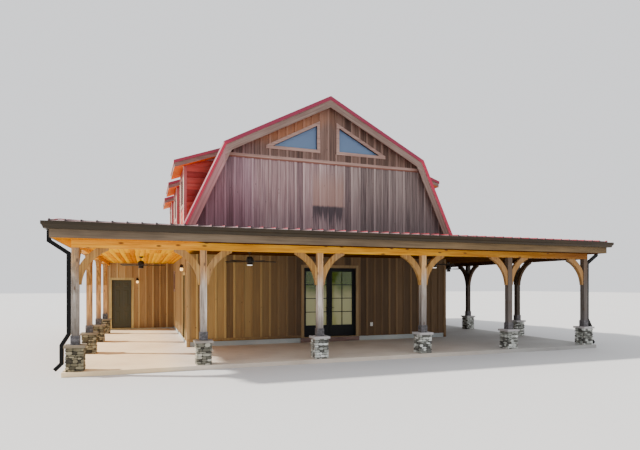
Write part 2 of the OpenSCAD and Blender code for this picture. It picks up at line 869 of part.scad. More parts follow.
// Porch ceiling, soffit, fascia and gutters
module porch_ceiling() {
    h = beam_w / 2;
    z0 = ceiling_z;
    z1 = ceiling_z + board_t;
    color("goldenrod") {
        span([post_left + h, post_y + h, z0], [post_right - h, wall_front, z1]);
        span([post_left + h, wall_front + joint, z0], [wall_left, wing_front, z1]);
        span([wall_right, wall_front + joint, z0], [post_right - h, wing_front, z1]);
    }
}
module eave_soffit() {
    h = beam_w / 2;
    f = fascia_out - fascia_t;
    z0 = soffit_z;
    z1 = soffit_z + board_t;
    color("goldenrod") {
        span([post_left - f, post_y - f, z0], [post_right + f, post_y - h, z1]);
        span([post_left - f, post_y - h + joint, z0], [post_left - h, roof_end - fascia_t, z1]);
        span([post_right + h, post_y - h + joint, z0], [post_right + f, roof_end - fascia_t, z1]);
    }
}
front_pitch = roof_rise / (porch_d + eave_out);
left_pitch = roof_rise / (wall_left - post_left + eave_out);
right_pitch = roof_rise / (post_right + eave_out - wall_right);
module fascia() {
    f = fascia_out;
    t = fascia_t;
    color("gray") {
        span([post_left - f, post_y - f, soffit_z],
             [post_right + f, post_y - f + t, eave_z + front_pitch * drip - seat_gap]);
        span([post_left - f, post_y - f + t + joint, soffit_z],
             [post_left - f + t, roof_end, eave_z + left_pitch * drip - seat_gap]);
        span([post_right + f - t, post_y - f + t + joint, soffit_z],
             [post_right + f, roof_end, eave_z + right_pitch * drip - seat_gap]);
        along_y(roof_end - t, roof_end) {
            l = post_left - f + t + joint;
            r = post_right + f - t - joint;
            low = soffit_z + board_t + joint;
            polygon([
                [l, low], [wall_left, soffit_z + roof_rise],
                [wall_left, left_under(wall_left) - seat_gap], [l, left_under(l) - seat_gap]
            ]);
            polygon([
                [r, low], [wall_right, soffit_z + roof_rise],
                [wall_right, right_under(wall_right) - seat_gap], [r, right_under(r) - seat_gap]
            ]);
        }
    }
}

// Section of a gutter: out from the fascia and up from its underside. Its
// front is an ogee drawn with straight lines, in shares of width and height.
gutter_front = [[0.68, 0], [0.82, 0.36], [1, 0.54]];
module gutter_section(inner) {
    t = inner ? gutter_t : 0;
    w = gutter_w;
    h = gutter_h;
    foot = gutter_front[0];
    waist = gutter_front[1];
    lip = gutter_front[2];
    polygon([
        [t, t], [w * foot[0] - t / 2, t], [w * waist[0] - t, h * waist[1]],
        [w * lip[0] - t, h * lip[1] + t / 2], [w * lip[0] - t, h + t], [t, h + t]
    ]);
}
module gutter_run(l) {
    rotate([90, 0, 90]) linear_extrude(l) difference() {
        intersection() {
            gutter_section(false);
            square([gutter_w, gutter_h]);
        }
        gutter_section(true);
    }
}
module gutters() {
    f = fascia_out;
    g = gutter_out;
    z = gutter_z;
    w = post_right - post_left + 2 * g;
    l = roof_end - post_y + g;
    color("dimgray") {
        intersection() {
            translate([post_right + g, post_y - f, z]) rotate([0, 0, 180]) gutter_run(w);
            linear_extrude(far) polygon([
                [post_left - g + joint, post_y - g], [post_right + g - joint, post_y - g],
                [post_right + f - joint, post_y - f], [post_left - f + joint, post_y - f]
            ]);
        }
        intersection() {
            translate([post_left - f, roof_end - l, z]) rotate([0, 0, 90]) gutter_run(l);
            linear_extrude(far) polygon([
                [post_left - g, post_y - g + joint], [post_left - f, post_y - f + joint],
                [post_left - f, roof_end], [post_left - g, roof_end]
            ]);
        }
        intersection() {
            translate([post_right + f, roof_end, z]) rotate([0, 0, -90]) gutter_run(l);
            linear_extrude(far) polygon([
                [post_right + g, post_y - g + joint], [post_right + f, post_y - f + joint],
                [post_right + f, roof_end], [post_right + g, roof_end]
            ]);
        }
    }
}

// A downspout lies in the upright plane through the front post row. Its
// middle line is a list of distances out from the corner post and heights.
function unit(a, b) = (b - a) / norm(b - a);
function side_of(v) = [-v[1], v[0]];
function mitred(p, i, w) =
    let (a = i > 0 ? side_of(unit(p[i - 1], p[i])) : side_of(unit(p[0], p[1])))
    let (b = i < len(p) - 1 ? side_of(unit(p[i], p[i + 1])) : a)
    p[i] + (a + b) * w / ((a + b) * b);
module ribbon(p, w) {
    polygon(concat(
        [for (i = [0:len(p) - 1]) mitred(p, i, w / 2)],
        [for (i = [len(p) - 1:-1:0]) mitred(p, i, -w / 2)]
    ));
}
spout_drop = fascia_out + gutter_w / 2;
spout_post = post_w / 2 + spout_gap + spout_w / 2;
spout_cap = cap_w / 2 + spout_gap + spout_w / 2;
spout_line = [
    [spout_drop, gutter_z], [spout_drop, beam_z + spout_turn],
    [spout_post, beam_z - spout_bend], [spout_post, cap_z + spout_leave],
    [spout_cap, cap_z], [spout_cap, slab_h + spout_low],
    [spout_cap + spout_kick, slab_h + spout_low - spout_kick]
];
module downspouts() {
    color("dimgray") {
        translate([post_left, post_y, 0]) rotate([0, 0, 180])
            along_y(-spout_t / 2, spout_t / 2) ribbon(spout_line, spout_w);
        translate([post_right, post_y, 0])
            along_y(-spout_t / 2, spout_t / 2) ribbon(spout_line, spout_w);
    }
}

// Porch frame
module porch_beams() {
    h = beam_w / 2;
    z1 = beam_z + beam_d;
    color("goldenrod") {
        span([post_left - h, post_y - h, beam_z], [post_right + h, post_y + h, z1]);
        span([post_left - h, post_y + h + joint, beam_z], [post_left + h, wing_front, z1]);
        span([post_right - h, post_y + h + joint, beam_z], [post_right + h, wing_front, z1]);
    }
}
module at_posts() {
    for (p = post_places) translate([p[0], p[1], 0]) children();
}
module block(w, z0, z1) {
    translate([-w / 2, -w / 2, z0]) cube([w, w, z1 - z0]);
}
module posts() {
    color("peru") at_posts() block(post_w, cap_z, beam_z);
}
module post_boots() {
    color("dimgray") at_posts() difference() {
        block(post_w + 2 * boot_t, cap_z, cap_z + boot_h);
        block(post_w, cap_z - past, cap_z + boot_h + past);
    }
}
module piers() {
    color("lightslategray") at_posts() block(pier_w, slab_h, slab_h + pier_h);
}
module pier_caps() {
    color("silver") at_posts() block(cap_w, slab_h + pier_h, cap_z);
}

// A knee brace out along +X from a post's middle: part of a ring that is cut
// off square at both ends, with a toe left under the post's and beam's faces
brace_steps = 400;
brace_dx = brace_run - brace_toe;
brace_dz = brace_drop - brace_toe;
brace_chord = sqrt(brace_dx * brace_dx + brace_dz * brace_dz);
brace_back = sqrt(brace_r * brace_r - brace_chord * brace_chord / 4);
brace_mid = [
    post_w / 2 + (brace_run + brace_toe) / 2 + brace_back * brace_dz / brace_chord,
    beam_z - (brace_drop + brace_toe) / 2 - brace_back * brace_dx / brace_chord
];
module knee_brace() {
    along_y(-brace_t / 2, brace_t / 2) intersection() {
        difference() {
            translate(brace_mid) circle(brace_r + brace_d, $fn = brace_steps);
            translate(brace_mid) circle(brace_r, $fn = brace_steps);
        }
        translate([post_w / 2, beam_z - brace_drop]) square([brace_run, brace_drop]);
    }
}
module knee_braces() {
    color("darkgoldenrod") {
        for (i = [0:4]) translate([front_x[i], post_y, 0]) knee_brace();
        for (i = [1:5]) translate([front_x[i], post_y, 0]) rotate([0, 0, 180]) knee_brace();
        for (x = [post_left, post_right], y = concat([post_y], side_y))
            translate([x, y, 0]) rotate([0, 0, 90]) knee_brace();
        for (x = [post_left, post_right], y = side_y)
            translate([x, y, 0]) rotate([0, 0, -90]) knee_brace();
    }
}

// Doors. A frame is drawn for a wall whose outer face is y = 0 and whose
// opening runs from x = 0 to w and from z = 0 to h.
module door_frame(w, h) {
    difference() {
        union() {
            cube([w, wall_t, h]);
            translate([-casing_w, -casing_out, 0]) cube([w + 2 * casing_w, casing_out, h + casing_w]);
        }
        translate([jamb_t, -casing_out - past, sill_t])
            cube([w - 2 * jamb_t, wall_t + casing_out + 2 * past, h - jamb_t - sill_t]);
    }
}
module door_frames() {
    color("sienna") {
        translate([french_mid - french_w / 2, wall_front, floor_z]) door_frame(french_w, french_h);
        translate([wall_left, side_mid + side_open_w / 2, floor_z]) rotate([0, 0, -90])
            door_frame(side_open_w, side_open_h);
        translate([wing_open_x, wing_front, wing_floor_z]) door_frame(wing_open_w, wing_open_h);
        placed_left() hinges(french_leaf_h, true);
        placed_right() hinges(french_leaf_h, true);
        placed_wing() hinges(wing_leaf_h, true);
        placed_side() hinges(side_leaf_h, true);
    }
}

// A French leaf, drawn from its hinge at the origin along +X, its inner
// face on y = 0. Glass fills the lights between its bars.
light_cols = 2;
light_rows = 4;
light_w = (french_leaf_w - 2 * stile_w - (light_cols - 1) * bar_w) / light_cols;
light_h = (french_leaf_h - french_base - french_top - (light_rows - 1) * bar_w) / light_rows;
module lights(y0, y1) {
    for (c = [0:light_cols - 1], r = [0:light_rows - 1])
        translate([stile_w + c * (light_w + bar_w), y0, french_base + r * (light_h + bar_w)])
            cube([light_w, y1 - y0, light_h]);
}
module french_leaf() {
    color("black") {
        difference() {
            translate([0, -leaf_t, 0]) cube([french_leaf_w, leaf_t, french_leaf_h]);
            lights(-leaf_t - past, past);
        }
        translate([french_leaf_w - stile_w / 2, 0, handle_z]) lever();
        hinges(french_leaf_h, false);
    }
}
module french_glass() {
    color("lightblue") lights(-(leaf_t + glass_t) / 2, -(leaf_t - glass_t) / 2);
}

// Three hinges beside a leaf's hinge edge. Their pins stand on the joint's
// axis, half way across the gap and just inside the inner face. The fixed
// knuckles belong to the frame, and the middle ones to the leaf.
hinge_at = [-leaf_gap / 2, hinge_r];
knuckles = [0.3, 0.7];
module hinges(h, fixed) {
    s = fixed ? 1 : 0;
    for (z = [hinge_in, h / 2 - hinge_l / 2, h - hinge_in - hinge_l])
        for (k = fixed ? [[0, knuckles[0]], [knuckles[1], 1]] : [knuckles]) {
            z0 = z + k[0] * hinge_l + (1 - s) * rod_gap;
            z1 = z + k[1] * hinge_l - (1 - s) * rod_gap;
            translate([hinge_at[0], hinge_at[1], z0]) cylinder(r = hinge_r, h = z1 - z0);
            translate([hinge_at[0], 0, z0]) mirror([s, 0, 0])
                cube([hinge_plate, hinge_t, z1 - z0]);
        }
}

// Handles on both faces of a leaf whose inner face is y = 0. A lever's plate
// reaches further up than down.
plate_low = 0.4;
spindle = 0.55;
module both_faces() {
    for (s = [0, 1]) translate([0, s * -leaf_t, 0]) mirror([0, s, 0]) children();
}
module lever() {
    both_faces() {
        translate([-plate_w / 2, -past, -plate_h * plate_low])
            cube([plate_w, rose_t + past, plate_h]);
        rotate([-90, 0, 0]) cylinder(r = lever_t * spindle, h = handle_out);
        translate([lever_t / 2 - lever_l, handle_out - lever_t, -lever_t / 2])
            cube([lever_l, lever_t, lever_t]);
    }
}
module knob() {
    both_faces() {
        translate([0, -past, 0]) rotate([-90, 0, 0]) cylinder(r = rose_r, h = rose_t + past);
        rotate([-90, 0, 0]) cylinder(r = knob_r / 2, h = handle_out - knob_r);
        translate([0, handle_out - knob_r, 0]) sphere(r = knob_r);
    }
}
module placed_left() {
    translate([french_mid - french_w / 2 + jamb_t + leaf_gap, wall_front + wall_t,
               floor_z + sill_t + leaf_gap]) children();
}
module placed_right() {
    translate([french_mid + french_w / 2 - jamb_t - leaf_gap, wall_front + wall_t,
               floor_z + sill_t + leaf_gap]) mirror([1, 0, 0]) children();
}
module placed_wing() {
    translate([wing_hinge, wing_front + wall_t, wing_floor_z + sill_t + leaf_gap]) children();
}
module placed_side() {
    translate([wall_left + wall_t, side_mid + side_leaf_w / 2, floor_z + sill_t + leaf_gap])
        rotate([0, 0, -90]) children();
}
module french_leaf_left() { placed_left() french_leaf(); }
module french_glass_left() { placed_left() french_glass(); }
module french_leaf_right() { placed_right() french_leaf(); }
module french_glass_right() { placed_right() french_glass(); }

// A door leaf of six sunk panels, drawn from its hinge as above. The rows
// are given in shares of the leaf's height.
panel_rows = [[0.10, 0.36], [0.42, 0.80], [0.85, 0.95]];
module panel_leaf(w, h) {
    pw = (w - 3 * panel_gap) / 2;
    difference() {
        translate([0, -leaf_t, 0]) cube([w, leaf_t, h]);
        for (c = [0, 1], r = panel_rows, y = [-leaf_t - past, -panel_in])
            translate([panel_gap + c * (pw + panel_gap), y, h * r[0]])
                cube([pw, panel_in + past, h * (r[1] - r[0])]);
    }
    translate([w - knob_in, 0, handle_z]) knob();
    hinges(h, false);
}
module wing_door() {
    color("darkolivegreen") placed_wing() panel_leaf(wing_leaf_w, wing_leaf_h);
}
module side_door() {
    color("black") placed_side() panel_leaf(side_leaf_w, side_leaf_h);
}

// Window frames stand in their openings with a casing outside, and the
// glass fills them half way through the wall.
module window_frames() {
    o = casing_out;
    c = casing_w;
    color("dimgray") {
        difference() {
            union() {
                gable_windows(gable_frame_w, wall_front - o, wall_front + wall_t);
                gable_windows(gable_frame_w, wall_rear - wall_t, wall_rear + o);
            }
            gable_windows(0, wall_front - o - past, wall_front + wall_t + past);
            gable_windows(0, wall_rear - wall_t - past, wall_rear + o + past);
        }
        difference() {
            union() {
                high_window(wall_left, wall_left + wall_t, high_mid, 0);
                high_window(wall_left - o, wall_left, high_mid, -c);
            }
            high_window(wall_left - o - past, wall_left + wall_t + past, high_mid, frame_w);
        }
        difference() {
            union() {
                high_window(wall_right - wall_t, wall_right, high_mid, 0);
                high_window(wall_right, wall_right + o, high_mid, -c);
            }
            high_window(wall_right - wall_t - past, wall_right + o + past, high_mid, frame_w);
        }
        for (x = rear_window_x) difference() {
            union() {
                rear_window(x, wall_rear - wall_t, wall_rear, 0);
                rear_window(x, wall_rear, wall_rear + o, -c);
            }
            rear_window(x, wall_rear - wall_t - past, wall_rear + o + past, frame_w);
        }
        both_sides() for (y = dormer_y) difference() {
            union() {
                dormer_window(y, dormer_front - dormer_t, dormer_front, 0);
                dormer_window(y, dormer_front, dormer_front + o, -c);
            }
            dormer_window(y, dormer_front - dormer_t - past, dormer_front + o + past, frame_w);
        }
    }
}
module dormer_window(y, u0, u1, inset) {
    z = wall_top + dormer_sill;
    span([u0, y - dormer_win_w / 2 + inset, z + inset],
         [u1, y + dormer_win_w / 2 - inset, z + dormer_win_h - inset]);
}
module window_glass() {
    g = glass_t / 2;
    m = wall_t / 2;
    f = frame_w;
    color("lightblue") {
        gable_windows(0, wall_front + m - g, wall_front + m + g);
        gable_windows(0, wall_rear - m - g, wall_rear - m + g);
        high_window(wall_left + m - g, wall_left + m + g, high_mid, f);
        high_window(wall_right - m - g, wall_right - m + g, high_mid, f);
        for (x = rear_window_x) rear_window(x, wall_rear - m - g, wall_rear - m + g, f);
        both_sides() for (y = dormer_y)
            dormer_window(y, dormer_front - dormer_t / 2 - g, dormer_front - dormer_t / 2 + g, f);
    }
}

// Fans: the mount is a canopy, a rod and a lamp, and the rotor turns on the
// rod. Its bell stands on the blades. Turned pieces narrow to a share of
// their radius.
narrow = 0.6;
module at_fan(i) {
    translate([fan_places[i][0], fan_places[i][1], ceiling_z - fan_drop]) children();
}
module fan_mounts() {
    low = -hub_low - leaf_gap;
    color("dimgray") for (i = [0:len(fan_places) - 1]) at_fan(i) {
        translate([0, 0, fan_drop - canopy_h])
            cylinder(r1 = canopy_r * narrow, r2 = canopy_r, h = canopy_h);
        translate([0, 0, low]) cylinder(r = rod_r, h = fan_drop - low);
        translate([0, 0, low - collar_h]) cylinder(r = canopy_r, h = collar_h);
        translate([0, 0, low - collar_h - lamp_h])
            cylinder(r1 = lamp_r * narrow, r2 = lamp_r, h = lamp_h);
    }
}
blade_root = hub_r + blade_gap;
blade_len = fan_r - blade_root - blade_w / 2;
blade_root_w = blade_w * 0.8;
module fan_blade() {
    translate([hub_r - iron_w / 2, -iron_w / 2, -iron_t / 2])
        cube([blade_gap + iron_w, iron_w, iron_t]);
    rotate([blade_tilt, 0, 0]) translate([blade_root, 0, -blade_t / 2]) linear_extrude(blade_t) {
        translate([0, -blade_root_w / 2]) square([blade_len, blade_root_w]);
        translate([blade_len, 0]) circle(blade_w / 2);
    }
}
module fan_rotor() {
    color("black") difference() {
        union() {
            translate([0, 0, -hub_low]) cylinder(r = hub_r, h = hub_low + hub_h);
            translate([0, 0, hub_h]) cylinder(r1 = hub_r, r2 = hub_r * narrow, h = bell_h);
            for (k = [0:fan_blades - 1]) rotate([0, 0, k * 360 / fan_blades]) fan_blade();
        }
        translate([0, 0, -2 * hub_low]) cylinder(r = rod_r + rod_gap, h = 4 * hub_h + bell_h);
    }
}
module fan_rotor_left() { at_fan(0) fan_rotor(); }
module fan_rotor_front_left() { at_fan(1) fan_rotor(); }
module fan_rotor_front_right() { at_fan(2) fan_rotor(); }
module fan_rotor_right() { at_fan(3) fan_rotor(); }

// Wall lanterns: a plate on the wall, an arm, a tapered body and a hood
module lantern() {
    low = -lantern_h * narrow;
    arm = light_plate_t;
    hood_z = low + lantern_h;
    body_y = -lantern_out + lantern_r / 6;
    translate([-light_plate_w / 2, -light_plate_t, low / 2])
        cube([light_plate_w, light_plate_t, hood_z + hood_h - low / 2]);
    translate([-arm / 2, -lantern_out, hood_z + arm]) cube([arm, lantern_out, arm]);
    translate([0, body_y, low]) cylinder(r1 = lantern_r * 2 / 3, r2 = lantern_r, h = lantern_h);
    translate([0, body_y, hood_z]) cylinder(r1 = hood_r, r2 = hood_r / 3, h = hood_h);
}
module wall_lights() {
    color("dimgray") {
        translate([french_mid, wall_front, ceiling_z - french_light_drop]) lantern();
        translate([wall_left, side_mid, ceiling_z - side_light_drop]) rotate([0, 0, -90]) lantern();
        translate([wing_hinge + wing_leaf_w + wing_light_x, wing_front, ceiling_z - wing_light_drop])
            lantern();
    }
}

foundation();
porch_slab();
front_wall_left();
front_wall_right();
front_gable_wall();
rear_wall();
left_wall_front();
left_wall_rear();
right_wall();
walls_over_doors();
left_wing_front_wall();
left_wing_side_wall();
right_wing_front_wall();
right_wing_side_wall();
wing_rear_walls();
loft_floor();
upper_roof_deck();
lower_roof_deck();
upper_roof_sheets();
lower_roof_sheets();
roof_caps();
rake_trims();
barge_boards();
gable_bands();
dormer_walls();
dormer_roof_boards();
dormer_roof_sheets();
porch_roof_front();
porch_roof_sides();
porch_ceiling();
eave_soffit();
fascia();
gutters();
downspouts();
porch_beams();
posts();
post_boots();
piers();
pier_caps();
knee_braces();
door_frames();
french_leaf_left();
french_glass_left();
french_leaf_right();
french_glass_right();
wing_door();
side_door();
window_frames();
window_glass();
fan_mounts();
wall_lights();
fan_rotor_left();
fan_rotor_front_left();
fan_rotor_front_right();
fan_rotor_right();
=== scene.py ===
# %% [markdown]
# # A timber barn with a gambrel roof and a deep porch
# The building's solids come from the CAD model and stay where they are. This
# script dresses them: it lays the battens, boards, stones and lamps that are
# too many and too small for the CAD, and gives every surface a finish made
# from shader nodes. Everything is in metres, with +X along the front, +Y to
# the back, +Z up and the origin on the ground.

# %% Load the fixed frame
import math
import random

import bmesh
import bpy
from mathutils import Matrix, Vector


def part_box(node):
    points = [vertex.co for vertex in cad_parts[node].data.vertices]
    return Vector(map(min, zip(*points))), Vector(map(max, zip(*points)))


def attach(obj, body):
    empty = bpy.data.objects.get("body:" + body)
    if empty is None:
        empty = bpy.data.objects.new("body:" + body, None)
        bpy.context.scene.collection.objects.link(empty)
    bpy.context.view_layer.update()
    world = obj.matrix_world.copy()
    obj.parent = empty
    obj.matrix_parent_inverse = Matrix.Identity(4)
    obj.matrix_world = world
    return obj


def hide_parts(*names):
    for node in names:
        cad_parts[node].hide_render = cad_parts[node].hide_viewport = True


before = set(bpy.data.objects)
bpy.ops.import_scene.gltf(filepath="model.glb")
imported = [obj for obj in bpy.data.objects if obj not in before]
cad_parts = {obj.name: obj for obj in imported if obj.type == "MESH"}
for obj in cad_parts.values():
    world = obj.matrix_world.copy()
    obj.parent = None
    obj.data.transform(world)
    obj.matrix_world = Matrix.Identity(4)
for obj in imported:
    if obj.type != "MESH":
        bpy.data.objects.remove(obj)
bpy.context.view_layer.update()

# %% [markdown]
# ## Camera
# The photograph was taken from eye height with upright lines kept upright,
# so the camera stands level and its sensor is shifted up instead of tilted.
# Its place was found by fitting the porch's piers and the roof's corners.


# %% Camera
def placed(name, data):
    """A new object in the scene."""
    made = bpy.data.objects.new(name, data)
    bpy.context.collection.objects.link(made)
    return made


lens = bpy.data.cameras.new("photo_camera")
lens.sensor_width = 36.0
lens.lens = 27.90
lens.shift_y = 0.0944
camera = placed("photo_camera", lens)
camera.location = (-5.926, -19.321, 1.977)
camera.rotation_euler = (math.radians(90), 0, math.radians(-19.602))
bpy.context.scene.camera = camera
print("camera at", tuple(camera.location))

# %% [markdown]
# ## Lines of the building
# The pieces below stand on the CAD's own faces. Most of those can be read
# from the boxes round its nodes. The roof's slopes can't, so their sizes are
# repeated from the model.

# %% Lines read from the CAD
left_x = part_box("left_wall_front")[0].x
right_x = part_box("right_wall")[1].x
front_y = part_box("front_wall_left")[0].y
rear_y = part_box("rear_wall")[1].y
wing_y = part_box("left_wing_front_wall")[0].y
wing_left_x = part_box("left_wing_side_wall")[0].x
wing_right_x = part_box("right_wing_side_wall")[1].x
slab_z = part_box("porch_slab")[1].z
floor_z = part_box("front_wall_left")[0].z
wing_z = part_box("left_wing_front_wall")[0].z
ceiling_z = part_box("porch_ceiling")[0].z
soffit_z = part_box("eave_soffit")[0].z
wall_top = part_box("right_wall")[1].z
middle_x = (left_x + right_x) / 2
half_w = (right_x - left_x) / 2
half_count = 16
siding_pitch = half_w / half_count
print("main walls", round(left_x, 3), round(right_x, 3), round(front_y, 3), round(rear_y, 3))

# %% Slopes of the main roof
knee_u = 3.490
knee_z = 6.3803
upper_rise = 1.820
upper_pitch = upper_rise / knee_u
lower_pitch = 2.16
ridge_z = knee_z + upper_rise
roof_depth = 0.125
upper_length = math.hypot(1, upper_pitch)
lower_length = math.hypot(1, lower_pitch)


def under_roof(u):
    """Height of the underside of the roof's deck at a distance u from the middle."""
    upper = ridge_z - upper_pitch * abs(u) - roof_depth * upper_length
    lower = knee_z - lower_pitch * (abs(u) - knee_u) - roof_depth * lower_length
    return min(upper, lower)


print("ridge at", round(ridge_z, 3), "wall top at", round(under_roof(half_w), 3))

# %% [markdown]
# ## Writing finishes as sums
# A finish is a small network of shader nodes. Written by hand that takes
# pages, so one class wraps a node's output and lets plain Python sums add
# the Math nodes, and another makes any other node from its type, its
# settings and what goes into its sockets. A finish starts as one colour and
# gets its stains, knots and dust, and any painted light and shade, as
# layers, each laid on by a mask.


# %% Words for shader nodes
def feed(links, socket, value):
    """Links an input to another socket, or sets it. Three numbers make an opaque colour."""
    if isinstance(value, bpy.types.NodeSocket):
        links.new(value, socket)
    elif isinstance(value, tuple) and len(socket.default_value) == 4:
        socket.default_value = (*value, 1)
    else:
        socket.default_value = value


class Wire:
    """An output socket that can be used in a sum."""

    def __init__(self, finish, socket):
        self.finish = finish
        self.socket = socket

    def __add__(self, other):
        return self.finish.math("ADD", self, other)

    def __sub__(self, other):
        return self.finish.math("SUBTRACT", self, other)

    def __rsub__(self, other):
        return self.finish.math("SUBTRACT", other, self)

    def __mul__(self, other):
        return self.finish.math("MULTIPLY", self, other)

    def __truediv__(self, other):
        return self.finish.math("DIVIDE", self, other)

    __radd__ = __add__
    __rmul__ = __mul__


class Finish:
    """A material made from a few words. place is the point on the piece, in metres."""

    def __init__(self, name):
        self.material = bpy.data.materials.new(name)
        self.material.use_nodes = True
        self.tree = self.material.node_tree
        self.shader = self.tree.nodes["Principled BSDF"]
        self.place = self.node("TexCoord", out="Object")
        self.x, self.y, self.z = (self.part(self.place, i) for i in range(3))

    def give(self, node, values):
        """Feeds several inputs of a node."""
        for key, value in values.items():
            feed(self.tree.links, node.inputs[key], value.socket if isinstance(value, Wire) else value)

    def node(self, kind, settings=None, values=None, out=0):
        made = self.tree.nodes.new("ShaderNode" + kind)
        for key, value in (settings or {}).items():
            if key == "stops":
                ramp = made.color_ramp.elements
                while len(ramp) < len(value):
                    ramp.new(0.5)
                for stop, (at, colour) in zip(ramp, value):
                    stop.position = at
                    stop.color = (*colour, 1)
            else:
                setattr(made, key, value)
        self.give(made, values or {})
        return Wire(self, made.outputs[out])

    def math(self, operation, *terms):
        return self.node("Math", {"operation": operation}, dict(enumerate(terms)))

    def part(self, vector, i):
        return self.node("SeparateXYZ", values={0: vector}, out=i)

    def noise(self, scale, detail=4.0, roughness=0.55):
        """Noise of a fineness, or stretched where three numbers are given."""
        where = self.place
        if isinstance(scale, tuple):
            where = self.node("Mapping", values={"Vector": where, "Scale": scale})
            scale = 1.0
        values = {"Vector": where, "Scale": scale, "Detail": detail, "Roughness": roughness}
        return self.node("TexNoise", values=values)

    def ramp(self, value, places, tones):
        return self.node("ValToRGB", {"stops": list(zip(places, tones))}, {0: value})

    def step(self, value, low, high):
        """0 below low and 1 above high, or the other way round if low is the larger."""
        ends = (0, 1) if low < high else (1, 0)
        values = {"Value": value, 1: min(low, high), 2: max(low, high), 3: ends[0], 4: ends[1]}
        return self.node("MapRange", {"interpolation_type": "SMOOTHSTEP"}, values)

    def mix(self, part, first, second, how="MIX"):
        settings = {"data_type": "RGBA", "blend_type": how}
        return self.node("Mix", settings, {0: part, 6: first, 7: second}, out=2)

    def layered(self, colour, *layers):
        """colour under layers of (part, tone), or (part, tone, how)."""
        for part, *tone in layers:
            colour = self.mix(part, colour, *tone)
        return colour

    def facing(self, axis):
        """How far the surface faces along x, y or z, from -1 to 1."""
        return self.part(self.node("NewGeometry", out="Normal"), "xyz".index(axis))

    def aside(self):
        """Distance to the left or right of the ridge."""
        return self.math("ABSOLUTE", self.x - middle_x)

    def tone(self):
        """The random number that each board or stone was given when it was laid."""
        return self.node("Attribute", {"attribute_name": "tone"}, out="Fac")

    def done(self, colour, roughness, height=None, relief=0.002, **constants):
        values = {key.replace("_", " "): value for key, value in constants.items()}
        values.update({"Base Color": colour, "Roughness": roughness})
        if height is not None:
            bump = {"Height": height, "Distance": relief, "Strength": 1.0}
            values["Normal"] = self.node("Bump", values=bump)
        self.give(self.shader, values)
        return self.material


# %% [markdown]
# ## Timber finishes
# Sawn boards show long fibres, a slow change of colour along each board, and
# a different colour from one board to the next. The fibres are noise that is
# stretched along the grain. The board's own colour is a random number: laid
# boards carry one each, and on a plain CAD wall it comes from counting board
# widths from the corner where the carpenter began. Knots are small cells that
# darken the wood round them.


# %% Grain, board tones and knots
def grain(f, along, fine=1.0):
    """Two layers of fibres that run along x, y or z."""
    scale = [1.1 if axis == along else 26.0 * fine for axis in "xyz"]
    return f.noise(tuple(scale), 5.0, 0.6), f.noise(tuple(s * 5 for s in scale), 3.0, 0.6)


def knots(f, along, each=0.9, radius=0.012):
    """A mask of dark knots, so many to a metre and longer along the grain."""
    longer = 2.6
    length = getattr(f, along)
    across = f.x + f.y + f.z - length
    spot = f.node("CombineXYZ", values={0: length * each, 1: across * (each * longer)})
    cells = f.node("TexVoronoi", {"voronoi_dimensions": "2D"}, {"Vector": spot, "Scale": 1.0})
    size = longer * each * radius
    return f.step(cells, size, size * 0.35)


def board_tone(f):
    """A random number for each board between two battens of a wall.

    The side walls count on from 50, so that they don't repeat the front."""
    turned = f.step(f.facing("x") * f.facing("x"), 0.4, 0.6)
    along = (f.x - left_x) * (1 - turned) + (f.y - front_y + 50 * siding_pitch) * turned
    board = f.math("FLOOR", along / siding_pitch)
    return f.node("TexWhiteNoise", {"noise_dimensions": "1D"}, {"W": board})


# %% Siding of the ground floor
def lower_siding(name, tone_of, lift):
    """Stained boards, with painted light making them honey at the sunny left end and brighter in the left
    porch, and painted shade making them dark brown to the right.
    """
    f = Finish(name)
    broad, fibres = grain(f, "z")
    slow = f.noise((8, 8, 0.5), 4.0, 0.6)
    mixed = broad * 0.32 + slow * 0.26 + tone_of(f) * 0.36 + lift - 0.04
    honey, brown, sunny = (f.ramp(mixed, (0.25, 0.5, 0.78), tones) for tones in (
        ((0.145, 0.078, 0.025), (0.33, 0.195, 0.062), (0.52, 0.34, 0.112)),
        ((0.056, 0.031, 0.013), (0.112, 0.064, 0.028), (0.19, 0.115, 0.052)),
        ((0.20, 0.115, 0.048), (0.37, 0.24, 0.105), (0.54, 0.39, 0.18)),
    ))
    damp = f.step(f.z + f.noise((5, 5, 0.6)) * 0.9, 0.95, 0.35)
    colour = f.layered(
        honey,
        # Painted shade turns the boards dark brown to the right; painted light from the sunlit slab brightens
        # the walls of the left porch.
        (f.step(f.x + slow * 1.2, -3.8, -0.2), brown),
        (f.step(f.x, -4.5, -4.62), sunny),
        (damp * 0.55, (0.085, 0.036, 0.018)),
        (knots(f, "z") * 0.8, (0.05, 0.025, 0.012)),
    )
    return f.done(colour, 0.62 + fibres * 0.15, fibres * 0.6 + broad * 0.4, 0.004, Specular_IOR_Level=0.35)


wall_siding = lower_siding("stained_boards", board_tone, 0.04)
batten_siding = lower_siding("stained_battens", Finish.tone, 0.17)


